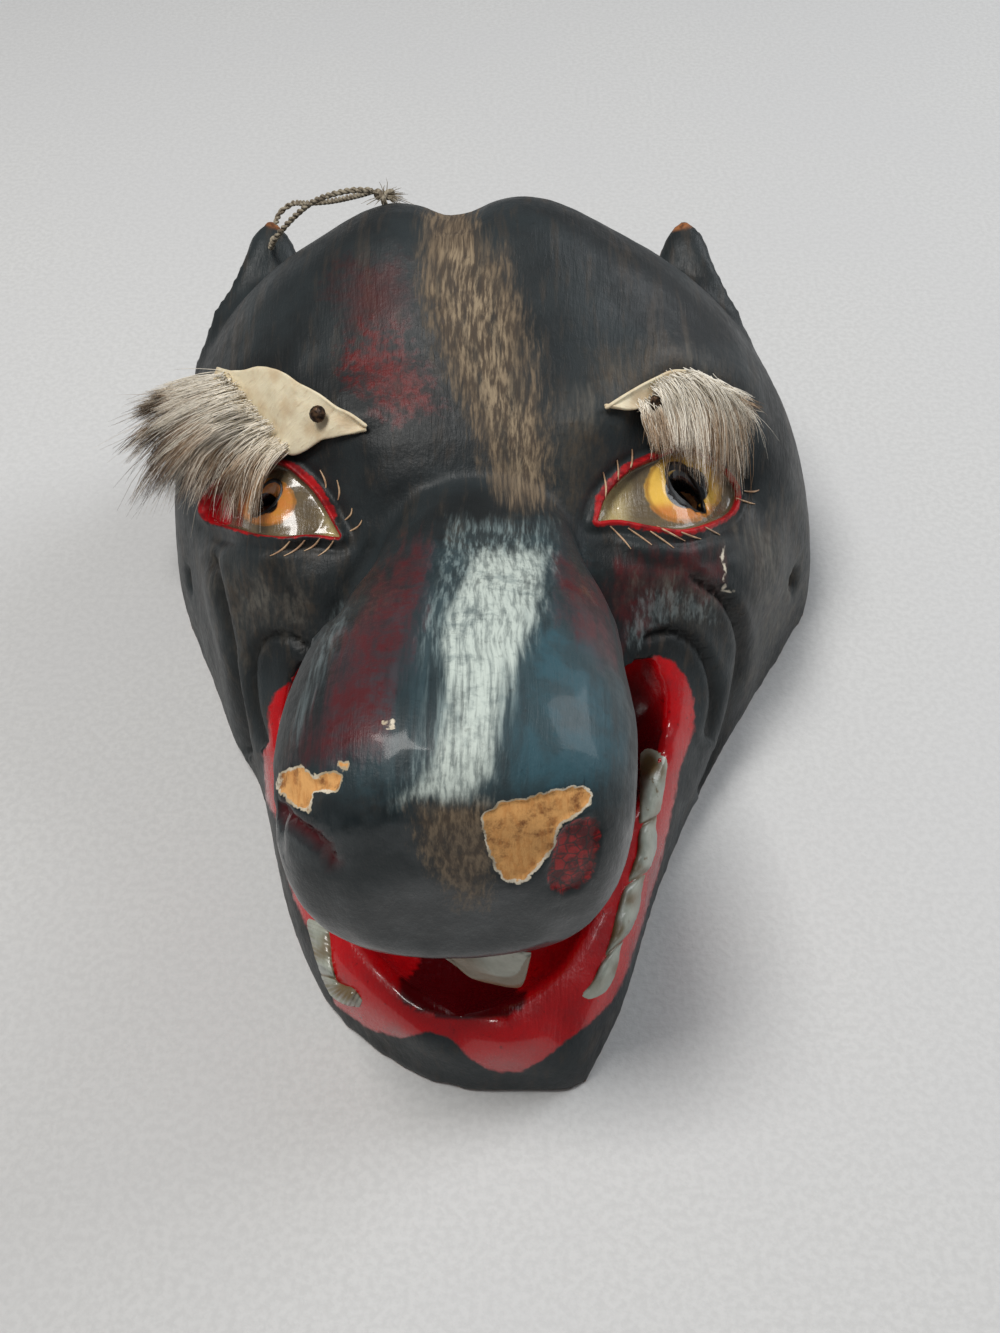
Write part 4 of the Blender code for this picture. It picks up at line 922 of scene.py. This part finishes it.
def make_teeth(name, tree, outer, inner, seams, material):
    """A worn band of teeth between two edges, along the inside of the lip."""
    outer = smooth_line(outer, 8)
    inner = smooth_line(inner, 8)
    columns = 70
    rows = 9
    points = []
    stain = []
    for i in range(columns + 1):
        s = i / columns
        out = outer[int(s * (len(outer) - 1))]
        inn = inner[int(s * (len(inner) - 1))]
        near = min(abs(s - seam) for seam in seams)
        groove = math.exp(-((near / 0.018) ** 2))
        for k in range(rows + 1):
            t = k / rows
            u = out[0] * (1 - t) + inn[0] * t
            v = out[1] * (1 - t) + inn[1] * t
            rough = 0.0004 * noise.noise(Vector((u * 0.15, v * 0.15, 8.0)))
            body = 0.0016 * math.sin(math.pi * min(1.0, max(0.0, t))) ** 0.5
            taper = min(1.0, 6 * s, 6 * (1 - s))
            lift = -0.0004 + (body * (1 - 0.75 * groove) + rough) * taper
            points.append(surface_point(tree, u, v, lift, True))
            stain.append(max(groove, 0.7 * (t > 0.85), 0.5 + noise.noise(Vector((u * 0.05, v * 0.05, 2.0)))))
    faces = []
    for i in range(columns):
        for k in range(rows):
            a = i * (rows + 1) + k
            faces.append((a, a + rows + 1, a + rows + 2, a + 1))
    mesh = mesh_from(name, points, faces)
    add_values(mesh, "stain", stain)
    mesh.shade_smooth()
    mesh.materials.append(material)
    return new_object(name, mesh)


def make_sleeves(name, tree, material):
    """The sight holes' walls, from just under the eyeball's surface inwards, all black: paint at the rim and painted
    shade further in.
    """
    points = []
    faces = []
    sides = 48
    for (x, y), radius in ((PUPIL_RIGHT, PUPIL_RIGHT_RADIUS), (PUPIL_LEFT, PUPIL_LEFT_RADIUS)):
        rim = []
        for k in range(sides):
            angle = 2 * math.pi * k / sides
            reach = radius + 0.0009
            start = Vector((x + SHIFT.x + reach * math.cos(angle), y + SHIFT.y + reach * math.sin(angle), 0.15))
            hit = tree.ray_cast(start, Vector((0, 0, -1)))[0]
            rim.append(hit.z if hit else 0.08)
        first = len(points)
        for share, drop in ((1.0, 0.0006), (0.82, -0.00035), (0.80, 0.0010), (0.78, 0.0120)):
            for k in range(sides):
                angle = 2 * math.pi * k / sides
                even = 0.5 * rim[k] + 0.25 * (rim[k - 1] + rim[(k + 1) % sides])
                reach = (radius + 0.0009) * share
                points.append((x + SHIFT.x + reach * math.cos(angle), y + SHIFT.y + reach * math.sin(angle),
                               even - drop))
        for row in range(3):
            for k in range(sides):
                j = (k + 1) % sides
                a = first + row * sides
                faces.append((a + k, a + j, a + sides + j, a + sides + k))
    mesh = mesh_from(name, points, faces)
    mesh.shade_smooth()
    mesh.materials.append(material)
    return new_object(name, mesh)


def make_upper_teeth(name, material):
    """The broken plate of upper teeth, which hangs under the upper lip in the mouth's front."""
    upper = smooth_line([(392, 944), (420, 946), (460, 950), (500, 952), (531, 952)], 8)
    lower = smooth_line([(395, 951), (425, 955), (450, 958), (458, 968), (471, 978), (492, 984), (516, 988),
                         (524, 982), (529, 964), (531, 956)], 8)
    columns = 60
    rows = 6
    points = []
    stain = []
    for back in (0.0, 0.0035):
        for i in range(columns + 1):
            share = i / columns
            top = upper[int(share * (len(upper) - 1))]
            low = lower[int(share * (len(lower) - 1))]
            for k in range(rows + 1):
                t = k / rows
                ray = pixel_ray(top[0] * (1 - t) + low[0] * t, top[1] * (1 - t) + low[1] * t)
                plane = SHIFT.y + UPPER_TEETH_PLANE + back + 0.0006 * noise.noise(Vector((share * 9, t * 3, back)))
                reach = (plane - CAMERA_PLACE.y) / ray.y
                points.append(CAMERA_PLACE + ray * reach)
                stain.append(max(1.0 - 6 * abs(share - 0.45), 0.0) * 0.5 + 0.9 * (t > 0.8) + 0.5)
    faces = []
    side = (columns + 1) * (rows + 1)
    for i in range(columns):
        for k in range(rows):
            a = i * (rows + 1) + k
            faces.append((a, a + rows + 1, a + rows + 2, a + 1))
            faces.append((a + side, a + side + 1, a + side + rows + 2, a + side + rows + 1))
        low = i * (rows + 1) + rows
        faces.append((low, low + rows + 1, low + side + rows + 1, low + side))
    mesh = mesh_from(name, points, faces)
    add_values(mesh, "stain", stain)
    mesh.shade_smooth()
    mesh.materials.append(material)
    return new_object(name, mesh)


# Twine: the route of the frame's cord, before the shift
TWINE_ROUTE = [
    (-0.0278, 0.2142, 0.1222), (-0.0350, 0.2155, 0.1212), (-0.0440, 0.2180, 0.1170),
    (-0.0505, 0.2205, 0.1110), (-0.0565, 0.2220, 0.1040), (-0.0598, 0.2240, 0.0985),
    (-0.0608, 0.2280, 0.0952), (-0.0608, 0.2350, 0.0948), (-0.0608, 0.2420, 0.0948),
    (-0.0596, 0.2465, 0.0958), (-0.0555, 0.2470, 0.0985), (-0.0510, 0.2420, 0.1015),
    (-0.0420, 0.2340, 0.1070), (-0.0330, 0.2245, 0.1145), (-0.0278, 0.2185, 0.1195),
]
TWINE_DIAMETER = 0.0018


def make_twine(material):
    """Two plies laid round each other along the route."""
    line = [Vector(p) + SHIFT for p in smooth_line(TWINE_ROUTE, 12)]
    lengths = [0.0]
    for start, end in zip(line, line[1:]):
        lengths.append(lengths[-1] + (end - start).length)
    total = lengths[-1]
    count = 420
    places = np.linspace(0, total, count)
    columns = [np.interp(places, lengths, [p[k] for p in line]) for k in range(3)]
    route = [Vector(p) for p in zip(*columns)]
    points = []
    faces = []
    ply = TWINE_DIAMETER / 4
    for strand in range(2):
        path = []
        for i, centre in enumerate(route):
            ahead = (route[min(i + 1, count - 1)] - route[max(i - 1, 0)]).normalized()
            aside = ahead.cross(Vector((0.31, 0.17, 0.93))).normalized()
            other = ahead.cross(aside)
            angle = math.pi * strand + 2 * math.pi * places[i] / 0.0042
            path.append(centre + ply * (math.cos(angle) * aside + math.sin(angle) * other))
        tube(points, faces, path, [ply * 1.08] * count, 8)
    mesh = mesh_from("twine_plies", points, faces)
    mesh.shade_smooth()
    mesh.materials.append(material)
    return new_object("twine_plies", mesh), route, total


def make_knot(material):
    """A frayed overhand knot with loose fibre ends."""
    low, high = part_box("twine_knot")
    centre = Vector(((low.x + high.x) / 2, (low.y + high.y) / 2, high.z - 0.0030))
    points = []
    faces = []
    path = []
    for i in range(61):
        a = 2 * math.pi * i / 60
        path.append(centre + Vector((0.0016 * math.sin(a) + 0.0010 * math.sin(2 * a),
                                     0.0016 * math.cos(a) - 0.0010 * math.cos(2 * a),
                                     0.0009 * math.sin(3 * a))))
    tube(points, faces, path, [0.00085] * 61, 8)
    rng = random.Random(7)
    for _ in range(60):
        aim = Vector((rng.gauss(0.5, 0.7), rng.gauss(-0.2, 0.6), rng.gauss(0.1, 0.3))).normalized()
        length = rng.uniform(0.003, 0.0075)
        bend = Vector((rng.gauss(0, 0.3), rng.gauss(0, 0.3), -0.4))
        path = [centre + aim * length * t + bend * length * t * t * 0.5 for t in (0, 0.35, 0.7, 1.0)]
        tube(points, faces, path, [0.00016, 0.00014, 0.0001, 0.00004], 4)
    mesh = mesh_from("twine_knot_frayed", points, faces)
    mesh.shade_smooth()
    mesh.materials.append(material)
    return new_object("twine_knot_frayed", mesh)


def area_light(name, place, aim, size, watts, colour):
    lamp = bpy.data.lights.new(name, "AREA")
    lamp.shape = "RECTANGLE"
    lamp.size = size[0]
    lamp.size_y = size[1]
    lamp.energy = watts
    lamp.color = colour
    obj = bpy.data.objects.new(name, lamp)
    obj.location = place
    obj.rotation_euler = (Vector(aim) - Vector(place)).to_track_quat("-Z", "Y").to_euler()
    bpy.context.scene.collection.objects.link(obj)


# Guide hairs: root, middle and tip, each as across, down and height above the wood
HAIR_LEFT = [
    ((204, 393, 0.0040), (172, 392, 0.0075), (136, 398, 0.0090)),
    ((208, 400, 0.0045), (165, 402, 0.0080), (118, 420, 0.0095)),
    ((216, 405, 0.0048), (163, 416, 0.0080), (118, 446, 0.0095)),
    ((226, 411, 0.0048), (168, 432, 0.0080), (126, 474, 0.0090)),
    ((237, 417, 0.0046), (178, 442, 0.0075), (134, 502, 0.0085)),
    ((248, 424, 0.0042), (194, 450, 0.0070), (158, 510, 0.0080)),
    ((258, 430, 0.0038), (212, 458, 0.0065), (186, 510, 0.0075)),
    ((268, 437, 0.0034), (228, 466, 0.0060), (206, 508, 0.0070)),
    ((278, 443, 0.0030), (244, 474, 0.0055), (228, 522, 0.0062)),
    ((286, 448, 0.0026), (254, 480, 0.0050), (240, 540, 0.0055)),
]
HAIR_LEFT_TOP = [
    ((222, 376, 0.0050), (184, 382, 0.0075), (150, 392, 0.0085)),
    ((230, 384, 0.0054), (184, 394, 0.0078), (138, 412, 0.0088)),
    ((240, 394, 0.0054), (188, 408, 0.0078), (138, 438, 0.0085)),
    ((250, 406, 0.0052), (196, 424, 0.0075), (148, 462, 0.0080)),
    ((260, 418, 0.0048), (210, 442, 0.0070), (172, 484, 0.0075)),
    ((272, 430, 0.0042), (230, 458, 0.0062), (204, 500, 0.0065)),
]
HAIR_RIGHT = [
    ((640, 404, 0.0020), (648, 424, 0.0034), (656, 450, 0.0040)),
    ((650, 399, 0.0024), (664, 424, 0.0042), (670, 460, 0.0048)),
    ((660, 392, 0.0028), (682, 422, 0.0048), (691, 474, 0.0055)),
    ((672, 388, 0.0030), (704, 420, 0.0052), (708, 488, 0.0058)),
    ((686, 386, 0.0030), (722, 418, 0.0052), (729, 500, 0.0058)),
    ((700, 387, 0.0030), (736, 416, 0.0050), (745, 496, 0.0056)),
    ((712, 390, 0.0028), (744, 410, 0.0046), (754, 454, 0.0052)),
    ((722, 395, 0.0026), (748, 404, 0.0042), (770, 416, 0.0046)),
]
HAIR_RIGHT_TOP = [
    ((654, 388, 0.0028), (668, 412, 0.0048), (674, 448, 0.0052)),
    ((664, 379, 0.0034), (688, 408, 0.0055), (698, 456, 0.0060)),
    ((676, 373, 0.0036), (708, 402, 0.0058), (718, 466, 0.0062)),
    ((692, 373, 0.0036), (724, 400, 0.0056), (737, 462, 0.0060)),
    ((705, 379, 0.0034), (735, 400, 0.0052), (748, 436, 0.0056)),
    ((716, 386, 0.0030), (742, 398, 0.0048), (762, 412, 0.0052)),
]


def main():
    scene = bpy.context.scene
    camera = bpy.data.objects.new("camera", bpy.data.cameras.new("camera"))
    camera.data.sensor_width = 36.0
    camera.data.lens = FOCAL_PX / FRAME_HEIGHT * 36.0
    camera.data.clip_start = 0.01
    camera.location = CAMERA_PLACE
    camera.rotation_euler = (math.pi / 2 - PITCH, 0.0, 0.0)
    scene.collection.objects.link(camera)
    scene.camera = camera

    head_mesh = fine_head()
    carve_and_paint(head_mesh)
    head_mesh.materials.clear()
    head_mesh.materials.append(painted_wood())
    head_mesh.shade_smooth()
    head = new_object("carved_head_painted", head_mesh)
    tree = BVHTree.FromPolygons([v.co.copy() for v in head_mesh.vertices],
                                [tuple(f.vertices) for f in head_mesh.polygons])

    skin = hide_material()
    cream = linear(252, 244, 228)
    hair_left = hair_material("hair_dark_tipped", cream, linear(186, 152, 116), linear(64, 46, 34))
    hair_right = hair_material("hair_pale", cream, linear(206, 176, 142), linear(128, 98, 70))
    hide_left = make_hide(
        "hide_left", tree,
        [(366, 428), (348, 414), (334, 407), (317, 393), (299, 383), (282, 372), (268, 367), (256, 366),
         (242, 370), (230, 370), (222, 368), (216, 366)],
        [(366, 428), (356, 432), (348, 434), (334, 438), (322, 440), (315, 444), (303, 452), (290, 456),
         (272, 446), (250, 430), (228, 408), (206, 392)],
        0.0040, skin)
    hide_right = make_hide(
        "hide_right", tree,
        [(604, 407), (620, 396), (640, 384), (656, 376), (672, 369), (690, 370), (704, 376), (718, 386), (728, 396)],
        [(604, 407), (618, 410), (630, 411), (644, 408), (658, 402), (676, 398), (694, 398), (712, 400), (728, 402)],
        0.0024, skin)
    fur_left = make_hair("fur_left", tree, [
        (HAIR_LEFT, 58, 28, 300, 0.35, 1.0),
        (HAIR_LEFT_TOP, 30, 16, 130, -0.2, 0.35),
    ], 11, 0.00015, hair_left)
    fur_right = make_hair("fur_right", tree, [
        (HAIR_RIGHT, 44, 24, 220, 0.25, 0.9),
        (HAIR_RIGHT_TOP, 26, 18, 120, -0.2, 0.4),
    ], 12, 0.00014, hair_right)
    paint = stroke_material()
    lashes = make_strokes("lashes", tree, LASH_RIGHT + LASH_LEFT, 0.0003, paint)
    enamel = tooth_material()
    teeth_right = make_teeth(
        "teeth_right", tree,
        [(650, 740), (669, 756), (667, 779), (662, 808), (657, 819), (658, 845), (653, 863), (645, 881),
         (641, 907), (633, 928), (623, 944), (618, 970), (607, 994), (581, 1010)],
        [(634, 740), (637, 764), (638, 790), (638, 815), (638, 832), (635, 855), (628, 876), (620, 897),
         (613, 923), (607, 947), (597, 970), (590, 984), (581, 992), (570, 1003)],
        (0.0, 0.29, 0.50, 0.74, 1.0), enamel)
    teeth_left = make_teeth(
        "teeth_left", tree,
        [(303, 912), (307, 930), (312, 949), (320, 975), (330, 996), (346, 1006), (367, 1010)],
        [(330, 921), (332, 942), (333, 962), (338, 980), (346, 985), (356, 989), (367, 1006)],
        (0.0, 0.5, 1.0), enamel)
    teeth_upper = make_upper_teeth("teeth_upper", enamel)
    sleeves = make_sleeves("sight_hole_walls", tree, hole_material())
    string = twine_material()
    twine, route, length = make_twine(string)
    knot = make_knot(string)
    metal = tack_material()
    for name in ("tack_left", "tack_right"):
        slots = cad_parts[name].data.materials
        slots.clear()
        slots.append(metal)

    wooden = (head, lashes, teeth_right, teeth_left, teeth_upper, sleeves)
    for piece in (*wooden, hide_left, hide_right, fur_left, fur_right, twine, knot):
        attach(piece, "root")
    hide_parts("carved_head")
    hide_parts("brow_left")
    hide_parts("brow_right")
    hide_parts("twine")
    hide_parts("twine_knot")

    floor_mesh = mesh_from("floor", [(-3, -3, 0), (3, -3, 0), (3, 3, 0), (-3, 3, 0)], [(0, 1, 2, 3)])
    floor_mesh.materials.append(floor_material())
    new_object("floor", floor_mesh)

    world = bpy.data.worlds.new("studio")
    world.use_nodes = True
    world.node_tree.nodes["Background"].inputs["Color"].default_value = (0.88, 0.90, 0.94, 1.0)
    world.node_tree.nodes["Background"].inputs["Strength"].default_value = 0.20
    scene.world = world
    scene.view_settings.view_transform = "Standard"
    area_light("key", (-0.38, -0.12, 1.25), (0, 0, 0.05), (0.42, 0.42), 12.0, (1.0, 0.98, 0.95))
    area_light("fill", (1.05, 0.55, 0.85), (0, 0, 0.05), (0.8, 0.8), 9.0, (0.94, 0.97, 1.0))


main()
